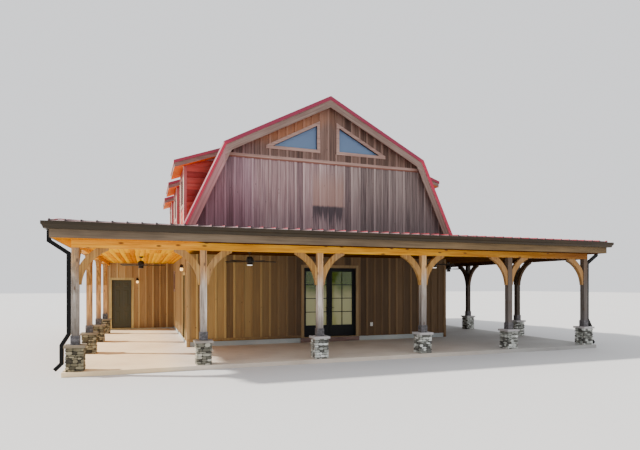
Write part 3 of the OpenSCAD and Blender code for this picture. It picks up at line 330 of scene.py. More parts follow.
# %% Siding of the gables
def gable_siding(name, tone_of, lift):
    """Boards silvered by the weather: rosy to the left, browner under the roof."""
    f = Finish(name)
    broad, fibres = grain(f, "z")
    streaks = f.noise((9, 9, 0.45), 5.0, 0.65)
    threads = f.step(f.noise((48, 48, 0.8), 4.0, 0.6), 0.34, 0.66)
    mixed = broad * 0.2 + tone_of(f) * 0.25 + streaks * 0.25 + threads * 0.22 + lift
    silver, rosy, red, sheltered = (f.ramp(mixed, (0.28, 0.5, 0.75), tones) for tones in (
        ((0.080, 0.062, 0.062), (0.185, 0.15, 0.14), (0.34, 0.285, 0.265)),
        ((0.13, 0.090, 0.098), (0.30, 0.215, 0.215), (0.50, 0.40, 0.385)),
        ((0.12, 0.048, 0.052), (0.24, 0.115, 0.125), (0.36, 0.205, 0.215)),
        ((0.042, 0.021, 0.013), (0.105, 0.060, 0.041), (0.21, 0.132, 0.100)),
    ))
    drifted = f.x + streaks * 1.5
    warm = f.step(f.z + f.aside() * upper_pitch + streaks * 0.5, ridge_z - 0.75, ridge_z - 0.35)
    warm = warm * f.step(f.z, 6.35, 6.9) * f.step(f.x, 0.6, -1.2)
    drip = f.noise((12, 12, 0.45), 4.0, 0.65)
    side = f.step(f.x + drip * 0.3, -0.56, -0.44) * f.step(f.x - drip * 0.3, 0.38, 0.26)
    side = side * f.step(f.y, 0.5, 0.0)
    patch = side * f.step(f.z, 4.58, 4.64) * f.step(f.z, 6.0, 5.2)
    stain = side * f.step(drip + (f.z - 4.15) * 0.5, 0.42, 0.62) * f.step(f.z + drip * 0.1, 4.72, 4.62)
    colour = f.layered(
        silver,
        (f.step(drifted, 2.2, -0.2), rosy),
        (f.step(drifted + f.z * 0.6, 1.3, -0.4) * 0.75, red),
        (f.step(f.z + streaks, 6.0, 4.4) * 0.75, (0.55, 0.55, 0.60), "MULTIPLY"),
        (f.step(f.z, 6.0, 6.2) * 0.9, sheltered),
        (f.step(drifted, -1.4, -2.2), (0.79, 0.73, 0.84), "MULTIPLY"),
        (warm * 0.55, (0.42, 0.165, 0.060)),
        (f.step(streaks, 0.55, 0.75) * 0.4, (0.09, 0.072, 0.078)),
        (patch * 0.55, (0.36, 0.235, 0.185)),
        (stain * 0.93, (0.045, 0.038, 0.045)),
        (knots(f, "z", 0.8, 0.014) * 0.7, (0.05, 0.035, 0.035)),
    )
    return f.done(colour, 0.78 + fibres * 0.12, fibres * 0.6 + broad * 0.4, 0.005)


gable_boards = gable_siding("weathered_boards", board_tone, 0.02)
gable_battens = gable_siding("weathered_battens", Finish.tone, 0.19)


# %% Siding of the dormers
def dormer_siding(name):
    """Level boards, red partly in their own colour and partly as painted light off the red roof, and painted
    brighter where the sun reaches under the roof.
    """
    f = Finish(name)
    level = f.noise((1.3, 1.3, 24), 5.0, 0.6)
    fibres = f.noise((6, 6, 120), 3.0, 0.6)
    # The red is partly painted light reflected off the red roof.
    red = f.ramp(level * 0.5 + f.tone() * 0.5, (0.2, 0.5, 0.8),
                 ((0.16, 0.014, 0.013), (0.33, 0.045, 0.036), (0.48, 0.105, 0.078)))
    blot = f.step(f.noise(2.6, 5.0, 0.6), 0.56, 0.72)
    # Painted light: the lower boards are brighter orange.
    colour = f.layered(red, (f.step(f.z + level, 5.4, 4.9) * 0.5, (0.56, 0.085, 0.034)),
                       (blot * 0.5, (0.12, 0.04, 0.035)))
    return f.done(colour, 0.7, fibres, 0.004)


red_boards = dormer_siding("red_boards_and_roof_glow")


# %% Pine of the ceiling, the beams and the braces
def no_layers(f):
    """What lies on a plain finish: nothing."""
    return ()


def pine(name, along, tones, tone_of=None, knot=0.012, grey=0.0, extra=no_layers, gloss=0.15):
    f = Finish(name)
    broad, fibres = grain(f, along, 0.8)
    mixed = broad if tone_of is None else broad * 0.55 + tone_of(f) * 0.45
    layers = [*extra(f), (knots(f, along, 1.5, knot), (0.16, 0.06, 0.018))]
    if grey:
        layers.append((f.step(f.noise(1.4, 5.0, 0.6), 0.42, 0.66) * grey, (0.34, 0.27, 0.21)))
    colour = f.layered(f.ramp(mixed, (0.28, 0.5, 0.74), tones), *layers)
    return f.done(colour, 0.5 + fibres * 0.2, fibres * 0.5 + broad * 0.5, 0.003, Specular_IOR_Level=gloss)


def front_porch_shade(f):
    """Painted shade: the ceiling of the front porch is darkened, away from the sunny side."""
    return [(f.step(f.x, left_x - 0.1, left_x + 0.1), (0.11, 0.080, 0.045), "MULTIPLY")]


def beam_shade_to_right(f):
    """Painted shade: beams grow browner to the right, and the inner side of the last one is nearly black."""
    inner = f.step(f.x, 6.0, 6.6) * f.step(f.facing("y") + f.facing("z") * 0.5, -0.9, -0.4)
    return [(f.step(f.x, 0.5, 4.0), (0.60, 0.56, 0.80), "MULTIPLY"),
            (f.step(f.x, 4.0, 7.0), (0.54, 0.46, 0.70), "MULTIPLY"),
            (inner * 0.9, (0.05, 0.022, 0.008))]


def brace_shade_to_right(f):
    """Painted shade: braces of the right side porch are nearly black, and the front ones brown to the right.
    """
    side = f.step(f.x, 6.9, 7.1) * f.step(f.y, -7.1, -6.9)
    return [(f.step(f.x, 1.0, 5.0) * 0.6, (0.34, 0.17, 0.06)), (side * 0.9, (0.045, 0.024, 0.012))]


ceiling_pine = pine("ceiling_pine", "y", ((0.58, 0.20, 0.003), (0.86, 0.40, 0.005), (0.96, 0.57, 0.014)),
                    Finish.tone, extra=front_porch_shade, gloss=0.0)
beam_pine = pine("beam_pine", "x", ((0.46, 0.17, 0.006), (0.75, 0.33, 0.016), (0.90, 0.50, 0.042)),
                 knot=0.030, extra=beam_shade_to_right)
deck_pine = pine("roof_deck_pine", "y", ((0.62, 0.17, 0.004), (0.90, 0.34, 0.007), (0.97, 0.50, 0.022)))
brace_pine = pine("brace_pine", "z", ((0.15, 0.074, 0.020), (0.35, 0.180, 0.050), (0.56, 0.34, 0.11)),
                  knot=0.016, grey=0.22, extra=brace_shade_to_right)
loft_pine = pine("loft_boards", "y", ((0.25, 0.16, 0.09), (0.42, 0.29, 0.17), (0.55, 0.41, 0.27)))


# %% Post timber
def post_finish():
    """Rough posts: orange where the porch shelters them, silver below, dark at the foot, and nearly black in
    painted shade on the right.
    """
    f = Finish("post_timber")
    broad, fibres = grain(f, "z", 0.7)
    rain = f.noise((3, 3, 0.8), 5.0, 0.6)
    silver, orange = (f.ramp(broad, (0.3, 0.5, 0.7), tones) for tones in (
        ((0.20, 0.155, 0.125), (0.47, 0.40, 0.34), (0.70, 0.65, 0.59)),
        ((0.34, 0.14, 0.029), (0.60, 0.30, 0.074), (0.78, 0.46, 0.14)),
    ))
    foot_grey = (0.12, 0.105, 0.105)
    fourth = f.step(f.x, 1.0, 1.2) * f.step(f.x, 1.9, 1.7) * f.step(f.z + rain * 1.2, 2.9, 1.8)
    figure = f.step(f.noise((13, 13, 3.2), 5.0, 0.65), 0.50, 0.72)
    first = f.step(f.x, -6.0, -7.0) * f.step(f.y, -6.0, -7.0)
    scars = f.step(f.noise((9, 9, 3.5), 5.0, 0.7), 0.46, 0.62)
    side = f.step(f.x, 6.9, 7.1) * f.step(f.y, -7.0, -6.8)
    cracks = f.step(f.noise((30, 30, 0.9), 3.0, 0.5), 0.63, 0.68)
    colour = f.layered(
        silver,
        (f.step(f.z + rain * 1.1, 2.35, 3.0) * 0.8, orange),
        (f.step(f.y + rain, -5.8, -4.6) * 0.85, orange),
        # Painted shade: the posts at the right end are nearly black.
        (f.step(f.x, 3.4, 4.2) * 0.88, (0.048, 0.038, 0.034)),
        (f.step(f.z + rain * 0.5, 1.6, 1.0) * 0.8, foot_grey),
        (fourth * 0.65, foot_grey),
        (figure * 0.5, (0.13, 0.085, 0.055)),
        (first * (scars * 0.35 + 0.40), (0.12, 0.092, 0.065)),
        (first * f.step(f.z + rain * 0.6, 2.1, 1.5) * 0.45, (0.11, 0.095, 0.080)),
        (knots(f, "z", 1.3, 0.024) * 0.85, (0.08, 0.04, 0.02)),
        # Painted shade: the posts of the right side porch are nearly black.
        (side * 0.85, (0.035, 0.024, 0.015)),
        (cracks * 0.7, (0.06, 0.045, 0.035)),
    )
    return f.done(colour, 0.75, fibres * 0.4 + broad * 0.4 - cracks * 0.8, 0.006)


post_timber = post_finish()


# %% Fascia, barge boards and trim
def square_to(f, pitch, length):
    """How high a point lies, measured square to one slope of the roof."""
    return (f.z + f.aside() * pitch) / length


def down_slope(f):
    """Coordinates whose first axis runs down both slopes of the roof."""
    upper = square_to(f, upper_pitch, upper_length)
    lower = square_to(f, lower_pitch, lower_length)
    across = upper + (lower - upper) * f.step(f.aside(), knee_u - 0.03, knee_u + 0.03)
    return f.node("CombineXYZ", values={0: f.aside(), 1: f.y, 2: across})


def trim_boards(name, along, tones, extra=no_layers):
    f = Finish(name)
    if along == "slope":
        f.place, along = down_slope(f), "x"
    broad, fibres = grain(f, along)
    mixed = broad * 0.6 + f.noise(0.7, 4.0, 0.6) * 0.4
    colour = f.layered(f.ramp(mixed, (0.3, 0.5, 0.72), tones), *extra(f))
    return f.done(colour, 0.72 + fibres * 0.12, fibres * 0.6 + broad * 0.4, 0.004)


def reveal_shade(f):
    """Painted shade: what lies in the thickness of the outer walls, inside the casings, is painted black."""
    deep = f.step(f.y, front_y + 0.002, front_y + 0.006) * f.step(f.y, rear_y - 0.002, rear_y - 0.006)
    return [(deep * f.step(f.aside(), half_w - 0.002, half_w - 0.006), (0.012, 0.010, 0.012))]


def door_casing(f):
    """Light casings on the sunny side, darkened by painted shade at the front doors, and reveals painted
    black as shade.
    """
    return [(f.step(f.x, -4.2, -4.0), (0.46, 0.38, 0.42), "MULTIPLY"),
            (f.step(f.y, wing_y + 0.002, wing_y + 0.006), (0.03, 0.02, 0.012)), *reveal_shade(f)]


def band_foot_shade(f):
    """Painted shade along the lower edge of the band, in a dark red-brown."""
    return [(f.step(f.z, knee_z - 0.315, knee_z - 0.33) * 0.85, (0.15, 0.045, 0.025))]


def golden_below(f):
    """Boards that kept their colour on the side the rain doesn't reach."""
    return [(f.step(f.facing("z"), -0.4, -0.7), (0.85, 0.36, 0.03))]


def browner_right(f):
    """The fascia and the gutter are browner to the right."""
    return [(f.step(f.x, -3.0, 4.0), (0.92, 0.80, 0.50), "MULTIPLY")]


def rosy_left(f):
    """The steep barge board on the sunny side is rosier."""
    return [(f.step(f.x, middle_x - 3.3, middle_x - 3.6), (1.75, 1.30, 1.60), "MULTIPLY")]


def corner_sunlight(f):
    """Corner boards are tinted red like the cheeks beside them, and painted sunlight turns their faces toward
    the sun cream.
    """
    return [(1.0, (0.75, 0.36, 0.42), "MULTIPLY"),
            (f.step(f.facing("x"), -0.5, -0.8), (0.85, 0.76, 0.58))]


barge_tones = ((0.10, 0.064, 0.050), (0.20, 0.138, 0.112), (0.31, 0.235, 0.20))
frame_tones = ((0.17, 0.105, 0.085), (0.33, 0.22, 0.18), (0.48, 0.35, 0.30))
fascia_boards = trim_boards("fascia_boards", "x", ((0.075, 0.050, 0.031), (0.15, 0.105, 0.064),
                            (0.235, 0.17, 0.11)), browner_right)
barge_timber = trim_boards("barge_timber", "slope", barge_tones, rosy_left)
dormer_timber = trim_boards("dormer_timber", "x", barge_tones, golden_below)
casing_timber = trim_boards("casing_timber", "z", ((0.27, 0.19, 0.07), (0.51, 0.40, 0.16),
                            (0.66, 0.56, 0.27)), door_casing)
frame_timber = trim_boards("frame_timber", "x", frame_tones, reveal_shade)
band_timber = trim_boards("band_timber", "x", frame_tones, band_foot_shade)
corner_timber = trim_boards("corner_timber", "z", ((0.30, 0.17, 0.14), (0.50, 0.36, 0.30),
                            (0.68, 0.58, 0.50)), corner_sunlight)
step_timber = trim_boards("step_timber", "x", ((0.09, 0.05, 0.042), (0.17, 0.105, 0.09),
                          (0.26, 0.18, 0.155)))


# %% [markdown]
# ## Metal, stone and concrete
# The roof is ribbed steel in a satin red. Its colour hardly changes, but dust
# lies in streaks down the slope and the paint is duller there. Where the
# trim meets the morning sun, painted sunlight turns it pink, and the ends of
# the sheets over the gutter carry painted glints, with painted shade in the
# hollows of their ribs.


# %% Painted metal
def painted(name, colour, dust, roughness, amount=0.3, extra=no_layers, **constants):
    f = Finish(name)
    film, grit = f.noise(0.9, 5.0, 0.6), f.noise(55.0, 3.0, 0.6)
    streak = f.step(film * 0.7 + grit * 0.3, 0.45, 0.68) * amount
    made = f.layered(colour, (streak, dust), *extra(f))
    return f.done(made, roughness + streak * 0.35, grit * 0.3 + film, 0.0015, **constants)


def sunlit_pink_trim(f):
    """Painted sunlight: trim that faces the morning sun, and its outer lip on the left, is painted pink.

    High up in front it is darker."""
    lower = square_to(f, lower_pitch, lower_length)
    edge = (knee_z + lower_pitch * knee_u) / lower_length
    # Painted highlight along the outer lip of the left lower rake.
    lip = f.step(lower, edge - 0.012, edge - 0.002) * f.step(lower, edge + 0.040, edge + 0.030)
    lip = lip * f.step(f.x, middle_x - 3.3, middle_x - 3.5)
    high = f.step(f.z, knee_z - 0.1, knee_z + 0.1) * f.step(f.facing("y"), -0.4, -0.8)
    return [(high, (0.52, 0.60, 0.80), "MULTIPLY"),
            (lip * f.step(f.z, knee_z + 0.02, knee_z - 0.05) * 0.85, (0.95, 0.72, 0.68)),
            (f.step(f.facing("x"), -0.55, -0.8) * 0.6, (0.85, 0.50, 0.46))]


def mottled(f):
    """Blotches of weathering as large as a hand."""
    return [(f.step(f.noise(16.0, 5.0, 0.65), 0.42, 0.66) * 0.6, (0.19, 0.178, 0.188))]


def eave_glints(f):
    """Painted glints on the ends of the sheets at the eave, and painted shade in the hollows of their ribs.
    """
    sheet_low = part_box("porch_roof_front")[0]
    rib_pitch, rib_slant = 0.305, 0.027
    bay = f.math("FRACT", (f.x - sheet_low.x) / rib_pitch)
    glint_mask = f.step(bay * rib_slant + sheet_low.z - f.z, -0.002, 0.002)
    # Painted glints: pale at the left, dark red to the right.
    cut = f.mix(f.step(f.x, -0.5, 4.0), (0.78, 0.54, 0.52), (0.15, 0.035, 0.035))
    return [(f.step(f.facing("y"), -0.9, -0.97), f.mix(glint_mask, (0.030, 0.010, 0.012), cut))]


sheet_paint = ((0.36, 0.006, 0.028), (0.48, 0.05, 0.07), 0.32, 0.4)
roof_red = painted("roof_red", *sheet_paint, Coat_Weight=0.15)
porch_red = painted("porch_red", *sheet_paint, eave_glints, Coat_Weight=0.15)
trim_red = painted("trim_red", (0.44, 0.004, 0.046), (0.45, 0.03, 0.08), 0.34, 0.25, sunlit_pink_trim,
                   Coat_Weight=0.1)
dormer_red = painted("dormer_red", (0.26, 0.003, 0.035), (0.36, 0.02, 0.06), 0.34, 0.25, sunlit_pink_trim,
                     Coat_Weight=0.1)
gutter_bronze = painted("gutter_bronze", (0.027, 0.018, 0.009), (0.078, 0.052, 0.026), 0.34,
                        extra=browner_right, Specular_IOR_Level=0.25)
spout_bronze = painted("spout_bronze", (0.004, 0.004, 0.004), (0.012, 0.011, 0.010), 0.30,
                       Specular_IOR_Level=0.12)
boot_metal = painted("boot_metal", (0.045, 0.042, 0.046), (0.12, 0.11, 0.115), 0.60, 0.5, mottled)
door_black = painted("door_black", (0.009, 0.010, 0.012), (0.035, 0.034, 0.034), 0.38,
                     Specular_IOR_Level=0.08)
door_olive = painted("door_olive", (0.042, 0.042, 0.018), (0.084, 0.080, 0.040), 0.42)
outlet_white = painted("outlet_white", (0.70, 0.69, 0.66), (0.52, 0.50, 0.46), 0.40)
fan_bronze = painted("fan_bronze", (0.014, 0.010, 0.008), (0.045, 0.032, 0.024), 0.38, Specular_IOR_Level=0.3)


# %% Stone
def stone_finish(name, tones, tone_of):
    f = Finish(name)
    mottle, fine = f.noise(7.0, 6.0, 0.62), f.noise(42.0, 4.0, 0.65)
    mixed = mottle * 0.32 + fine * 0.13 + tone_of(f) * 0.55
    # Painted shade darkens the piers toward the left.
    colour = f.layered(f.ramp(mixed, (0.22, 0.42, 0.6, 0.8), tones),
                       (f.step(f.x, -2.6, -6.2), (0.50, 0.42, 0.28), "MULTIPLY"))
    return f.done(colour, 0.85, mottle * 0.6 + fine * 0.4, 0.006)


ledge_stone = stone_finish("ledge_stone", ((0.055, 0.053, 0.047), (0.21, 0.215, 0.19),
                           (0.46, 0.475, 0.435), (0.78, 0.80, 0.76)), Finish.tone)
cap_stone = stone_finish("cap_stone", ((0.24, 0.22, 0.225), (0.36, 0.34, 0.34),
                         (0.48, 0.46, 0.46), (0.62, 0.60, 0.60)), lambda f: f.noise(1.3))
# Painted shade: the dark bed seen in the joints between the stones.
bed_shadow = stone_finish("stone_joint_shade", ((0.02, 0.017, 0.013), (0.032, 0.028, 0.022),
                          (0.045, 0.04, 0.032), (0.06, 0.054, 0.045)), lambda f: f.noise(3.0))


# %% Concrete
def concrete_finish(name, tones, shade):
    """Broomed concrete with saw cuts every three metres and dust blown over it, darker in painted shade to
    the right and brighter in painted sunlight at the left end.
    """
    f = Finish(name)
    cloud, sand, broom = f.noise(0.55, 6.0, 0.6), f.noise(90.0, 3.0, 0.7), f.noise((2, 160, 2), 2.0, 0.5)
    cut = f.step(f.math("PINGPONG", f.y + 0.7, 1.5), 0.006, 0.002)
    colour = f.layered(
        f.ramp(cloud * 0.75 + sand * 0.25, (0.3, 0.5, 0.7), tones),
        # Painted shade to the right, and painted sunlight on the left end.
        (f.step(f.x + cloud * 2, 1.0, 7.0), shade, "MULTIPLY"),
        (f.step(f.x + cloud, -4.2, -5.2), (1.36, 1.22, 0.90), "MULTIPLY"),
        (f.step(f.noise(1.1, 5.0, 0.6), 0.60, 0.74) * 0.25, (0.20, 0.15, 0.12)),
        (cut * 0.5, (0.12, 0.10, 0.09)),
    )
    return f.done(colour, 0.86, sand * 0.5 + broom * 0.5 - cut * 2.0, 0.002)


slab_concrete = concrete_finish("slab_concrete", ((0.48, 0.395, 0.32), (0.62, 0.535, 0.445),
                                (0.72, 0.645, 0.54)), (0.58, 0.66, 0.76))
stem_concrete = concrete_finish("stem_concrete", ((0.27, 0.29, 0.285), (0.38, 0.405, 0.395),
                                (0.49, 0.51, 0.49)), (0.95, 0.97, 1.0))


# %% [markdown]
# ## Glass and lamps
# Window glass shows the dark room behind it, and its colour holds a painted
# reflection of the sky above and of the pale ground lower down. A mix of
# clear and glossy shading is slow and can't be exported, so one shader with
# some transparency stands for both. Lamp glass is frosted and gives off its
# own warm light. Only the two fans in front are lit, so the others' glass is dark.


# %% Glass and lamps
def window_glass(name, low, high, colours, alpha):
    """Glass with a painted reflection that turns from the first colour to the second between two heights."""
    f = Finish(name)
    waver = f.noise(1.7, 2.0, 0.5)
    tint = f.mix(f.step(f.z + (waver - 0.5) * 0.8, low, high), *colours)
    return f.done(tint, 0.06, waver, 0.002, Alpha=alpha, IOR=1.5)


def lit_glass(name, colour, strength, lit=None):
    """Glowing glass. lit is a mask of what glows, and all of it does without one."""
    f = Finish(name)
    frost = f.noise(30.0, 3.0, 0.6)
    tint = f.mix(frost, colour, tuple(c * 0.8 for c in colour))
    if lit:
        tint = f.mix(lit(f), (0.035, 0.028, 0.022), tint)
    return f.done(tint, 0.35, frost, 0.001, Emission_Color=tint, Emission_Strength=strength)


pane_glass = window_glass("pane_glass", 5.0, 7.6, ((0.14, 0.24, 0.38), (0.10, 0.17, 0.30)), 0.88)
door_glass = window_glass("door_glass", 1.45, 2.15, ((0.47, 0.47, 0.20), (0.10, 0.155, 0.022)), 0.80)
lamp_glass = lit_glass("lamp_glass", (1.0, 0.66, 0.28), 2.6)
fan_glass = lit_glass("fan_glass", (0.92, 0.88, 0.80), 1.2, lambda f: f.step(f.y, -3.0, -4.0))

# %% Give the CAD nodes their finishes
dressed = [
    (stem_concrete, "foundation"),
    (slab_concrete, "porch_slab"),
    (wall_siding, "front_wall_left front_wall_right left_wall_front left_wall_rear right_wall"),
    (wall_siding, "walls_over_doors left_wing_front_wall left_wing_side_wall right_wing_front_wall"),
    (wall_siding, "right_wing_side_wall wing_rear_walls"),
    (gable_boards, "front_gable_wall rear_wall"),
    (loft_pine, "loft_floor"),
    (deck_pine, "upper_roof_deck lower_roof_deck"),
    (roof_red, "upper_roof_sheets lower_roof_sheets porch_roof_sides"),
    (porch_red, "porch_roof_front"),
    (trim_red, "roof_caps rake_trims"),
    (dormer_red, "dormer_roof_sheets"),
    (barge_timber, "barge_boards dormer_walls"),
    (band_timber, "gable_bands"),
    (dormer_timber, "dormer_roof_boards"),
    (ceiling_pine, "porch_ceiling eave_soffit"),
    (fascia_boards, "fascia"),
    (gutter_bronze, "gutters"),
    (spout_bronze, "downspouts"),
    (beam_pine, "porch_beams"),
    (post_timber, "posts"),
    (boot_metal, "post_boots"),
    (ledge_stone, "piers"),
    (cap_stone, "pier_caps"),
    (brace_pine, "knee_braces"),
    (casing_timber, "door_frames"),
    (frame_timber, "window_frames"),
    (pane_glass, "window_glass"),
    (door_glass, "french_glass_left french_glass_right"),
    (door_black, "french_leaf_left french_leaf_right side_door"),
    (door_olive, "wing_door"),
    (fan_bronze, "fan_mounts fan_rotor_left fan_rotor_front_left fan_rotor_front_right"),
    (fan_bronze, "fan_rotor_right wall_lights"),
]
count = 0
for material, nodes in dressed:
    for node in nodes.split():
        count += 1
        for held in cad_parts[node].material_slots:
            held.material = material
print("dressed", count, "of", len(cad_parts), "CAD nodes")

# %% [markdown]
# ## Boards laid by a node tree
# Battens, ceiling boards and siding are all one thing: a straight board with
# eased edges, laid again and again. Python lists where each board starts, how
# it is turned and how long it is. A Geometry Nodes tree sweeps one board,
# sets a copy on every point, gives each a random tone for its colour, and
# realizes the copies into a plain mesh.


# %% Words for node trees
class Tree:
    """A Geometry Nodes tree with named inputs, whose sockets are in given."""

    def __init__(self, name, **inputs):
        self.group = bpy.data.node_groups.new(name, "GeometryNodeTree")
        for label, kind in {"Geometry": "Geometry", **inputs}.items():
            self.group.interface.new_socket(label, in_out="INPUT", socket_type="NodeSocket" + kind)
        self.group.interface.new_socket("Geometry", in_out="OUTPUT", socket_type="NodeSocketGeometry")
        self.given = self.add("NodeGroupInput")

    def add(self, kind, settings=None, numbered=None, **named):
        made = self.group.nodes.new(kind)
        for key, value in (settings or {}).items():
            setattr(made, key, value)
        values = {made.inputs[key.replace("_", " ")]: value for key, value in named.items()}
        values.update({made.inputs[i]: value for i, value in (numbered or {}).items()})
        for socket, value in values.items():
            feed(self.group.links, socket, value)
        return made.outputs

    def product(self, first, second):
        """The product of two numbers."""
        return self.add("ShaderNodeMath", {"operation": "MULTIPLY"}, {0: first, 1: second})["Value"]

    def moved(self, geometry, vector, scale=1.0):
        """The geometry with every point moved by a vector times a scale."""
        offset = self.add("ShaderNodeVectorMath", {"operation": "SCALE"}, {0: vector}, Scale=scale)
        return self.add("GeometryNodeSetPosition", Geometry=geometry, Offset=offset["Vector"])["Geometry"]

    def laid(self, shape):
        """A copy of shape on each point, turned and sized by its attributes, each with its own tone."""
        turn, size = (self.add("GeometryNodeInputNamedAttribute", {"data_type": "FLOAT_VECTOR"}, Name=name)
                      for name in ("turn", "size"))
        rotation = self.add("FunctionNodeEulerToRotation", Euler=turn["Attribute"])
        copies = self.add("GeometryNodeInstanceOnPoints", Points=self.given["Geometry"], Instance=shape,
                          Rotation=rotation["Rotation"], Scale=size["Attribute"])
        tone = self.add("FunctionNodeRandomValue", {"data_type": "FLOAT"}, Seed=self.given["Seed"])
        toned = self.add("GeometryNodeStoreNamedAttribute", {"data_type": "FLOAT", "domain": "INSTANCE"},
                         Geometry=copies["Instances"], Name="tone", Value=tone[1])
        return self.add("GeometryNodeRealizeInstances", Geometry=toned["Geometry"])["Geometry"]

    def ended(self, geometry):
        """Sets the finish, ends the tree there and returns it."""
        set_finish = self.add("GeometryNodeSetMaterial", Geometry=geometry, Material=self.given["Finish"])
        end = self.group.nodes.new("NodeGroupOutput")
        self.group.links.new(set_finish["Geometry"], end.inputs["Geometry"])
        return self.group


# %% The board tree
def board_tree():
    tree = Tree("laid_boards", Width="Float", Thickness="Float", Ease="Float", Seed="Int", Finish="Material")
    given = tree.given
    section = tree.add("GeometryNodeCurvePrimitiveQuadrilateral", Width=given["Width"],
                       Height=given["Thickness"])
    eased = tree.add("GeometryNodeFilletCurve", {"mode": "POLY"}, Curve=section["Curve"],
                     Radius=given["Ease"], Count=1)
    line = tree.add("GeometryNodeCurvePrimitiveLine", Start=(0, 0, 0), End=(0, 0, 1))
    swept = tree.add("GeometryNodeCurveToMesh", Curve=line["Curve"], Profile_Curve=eased["Curve"],
                     Fill_Caps=True)
    back = tree.add("ShaderNodeCombineXYZ", Y=tree.product(given["Thickness"], -0.5))
    return tree.ended(tree.laid(tree.moved(swept["Mesh"], back["Vector"])))


board_nodes = board_tree()
print("board tree:", len(board_nodes.nodes), "nodes")


# %% Running a tree on a list of points
def grown(name, tree, places, **values):
    """places is a list of (point, turn, size). Returns a plain mesh object at the origin."""
    mesh = bpy.data.meshes.new(name)
    mesh.from_pydata([p[0] for p in places], [], [])
    for i, key in ((1, "turn"), (2, "size")):
        layer = mesh.attributes.new(key, "FLOAT_VECTOR", "POINT")
        layer.data.foreach_set("vector", [c for p in places for c in p[i]])
    seedbed = placed(name, mesh)
    modifier = seedbed.modifiers.new(name, "NODES")
    modifier.node_group = tree
    for item in tree.interface.items_tree:
        if item.in_out == "INPUT" and item.name in values:
            modifier[item.identifier] = values[item.name]
    bpy.context.view_layer.update()
    evaluated = seedbed.evaluated_get(bpy.context.evaluated_depsgraph_get())
    plain = bpy.data.meshes.new_from_object(evaluated)
    bpy.data.objects.remove(seedbed)
    for key in ("turn", "size"):
        if key in plain.attributes:
            plain.attributes.remove(plain.attributes[key])
    print(name, len(places), "copies,", len(plain.polygons), "faces")
    return placed(name, plain)


def boards(name, rows, width, thickness, seed, finish, ease=0.003):
    """Lays rows of boards with the board tree."""
    return grown(name, board_nodes, rows, Width=width, Thickness=thickness, Ease=ease, Seed=seed,
                 Finish=finish)


faces_left, faces_right, faces_rear = math.radians(-90), math.radians(90), math.radians(180)


def upright(point, length, facing=0.0):
    """A board that stands at point and faces the front unless it is turned."""
    return (point, (0.0, 0.0, facing), (1.0, 1.0, length))


def level(point, length, facing=0.0):
    """A board that lies level, running to the right as seen from outside."""
    return (point, (0.0, math.radians(90), facing), (1.0, 1.0, length))


# %% [markdown]
# ## Battens on the walls
# Wide boards stand side by side and narrow battens cover the joints. The
# battens give the walls their shadow lines, so they are real geometry. They
# stop at doors, windows and trim, and on the gables they run up to the roof.


# %% Where the battens go
batten_w = 0.07
batten_t = 0.02
shortest = 0.02
end_gap = 0.1


def clear_runs(at, low, high, holes):
    """What is left of an upright from low to high beside the holes in a wall."""
    runs = [(low, high)]
    for a, b, z0, z1 in holes:
        if a - batten_w / 2 < at < b + batten_w / 2:
            runs = [r for lo, hi in runs for r in ((lo, min(hi, z0)), (max(lo, z1), hi))]
    return [r for r in runs if r[1] - r[0] > shortest]


def wall_battens(start, stop, low, high, facing, line, holes):
    """Battens between start and stop along a wall whose face is on line."""
    along_x = facing in (0.0, faces_rear)
    origin = left_x if along_x else front_y
    rows = []
    for i in range(math.ceil((start + end_gap - origin) / siding_pitch),
                   math.ceil((stop - end_gap - origin) / siding_pitch)):
        at = origin + i * siding_pitch
        for lo, hi in clear_runs(at, low, high, holes):
            point = (at, line, lo) if along_x else (line, at, lo)
            rows.append(upright(point, hi - lo, facing))
    return rows


# %% Battens of the ground floor
# A hole is its two ends along the wall, its foot and its top. A wall is its two
# ends, its foot and top, the side it faces, the line of its face and its holes.
window_sill, window_head = 1.72, 2.59
french = (-1.04, 1.01, 0.0, 2.655)
side_hole = (-3.072, -2.056, 0.0, 2.409)
high_hole = (2.226, 3.146, window_sill, window_head)
wing_hole = (-7.272, -6.308, 0.0, 2.302)
behind_z = soffit_z + 0.03
walls = [
    (left_x, right_x, floor_z, ceiling_z, 0.0, front_y, [french]),
    (front_y, wing_y, floor_z, ceiling_z, faces_left, left_x, [side_hole, high_hole]),
    (front_y, wing_y, floor_z, ceiling_z, faces_right, right_x, [high_hole]),
    (wing_left_x, left_x, wing_z, ceiling_z, 0.0, wing_y, [wing_hole]),
    (right_x, wing_right_x, wing_z, ceiling_z, 0.0, wing_y, []),
    (wing_y, rear_y, wing_z, soffit_z, faces_left, wing_left_x, []),
    (wing_y, rear_y, wing_z, soffit_z, faces_right, wing_right_x, []),
    (wing_left_x, left_x, wing_z, behind_z, faces_rear, rear_y, []),
    (right_x, wing_right_x, wing_z, behind_z, faces_rear, rear_y, []),
]
rows = [row for wall in walls for row in wall_battens(*wall)]
lower_battens = boards("lower_battens", rows, batten_w, batten_t, 3, batten_siding)
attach(lower_battens, "barn")

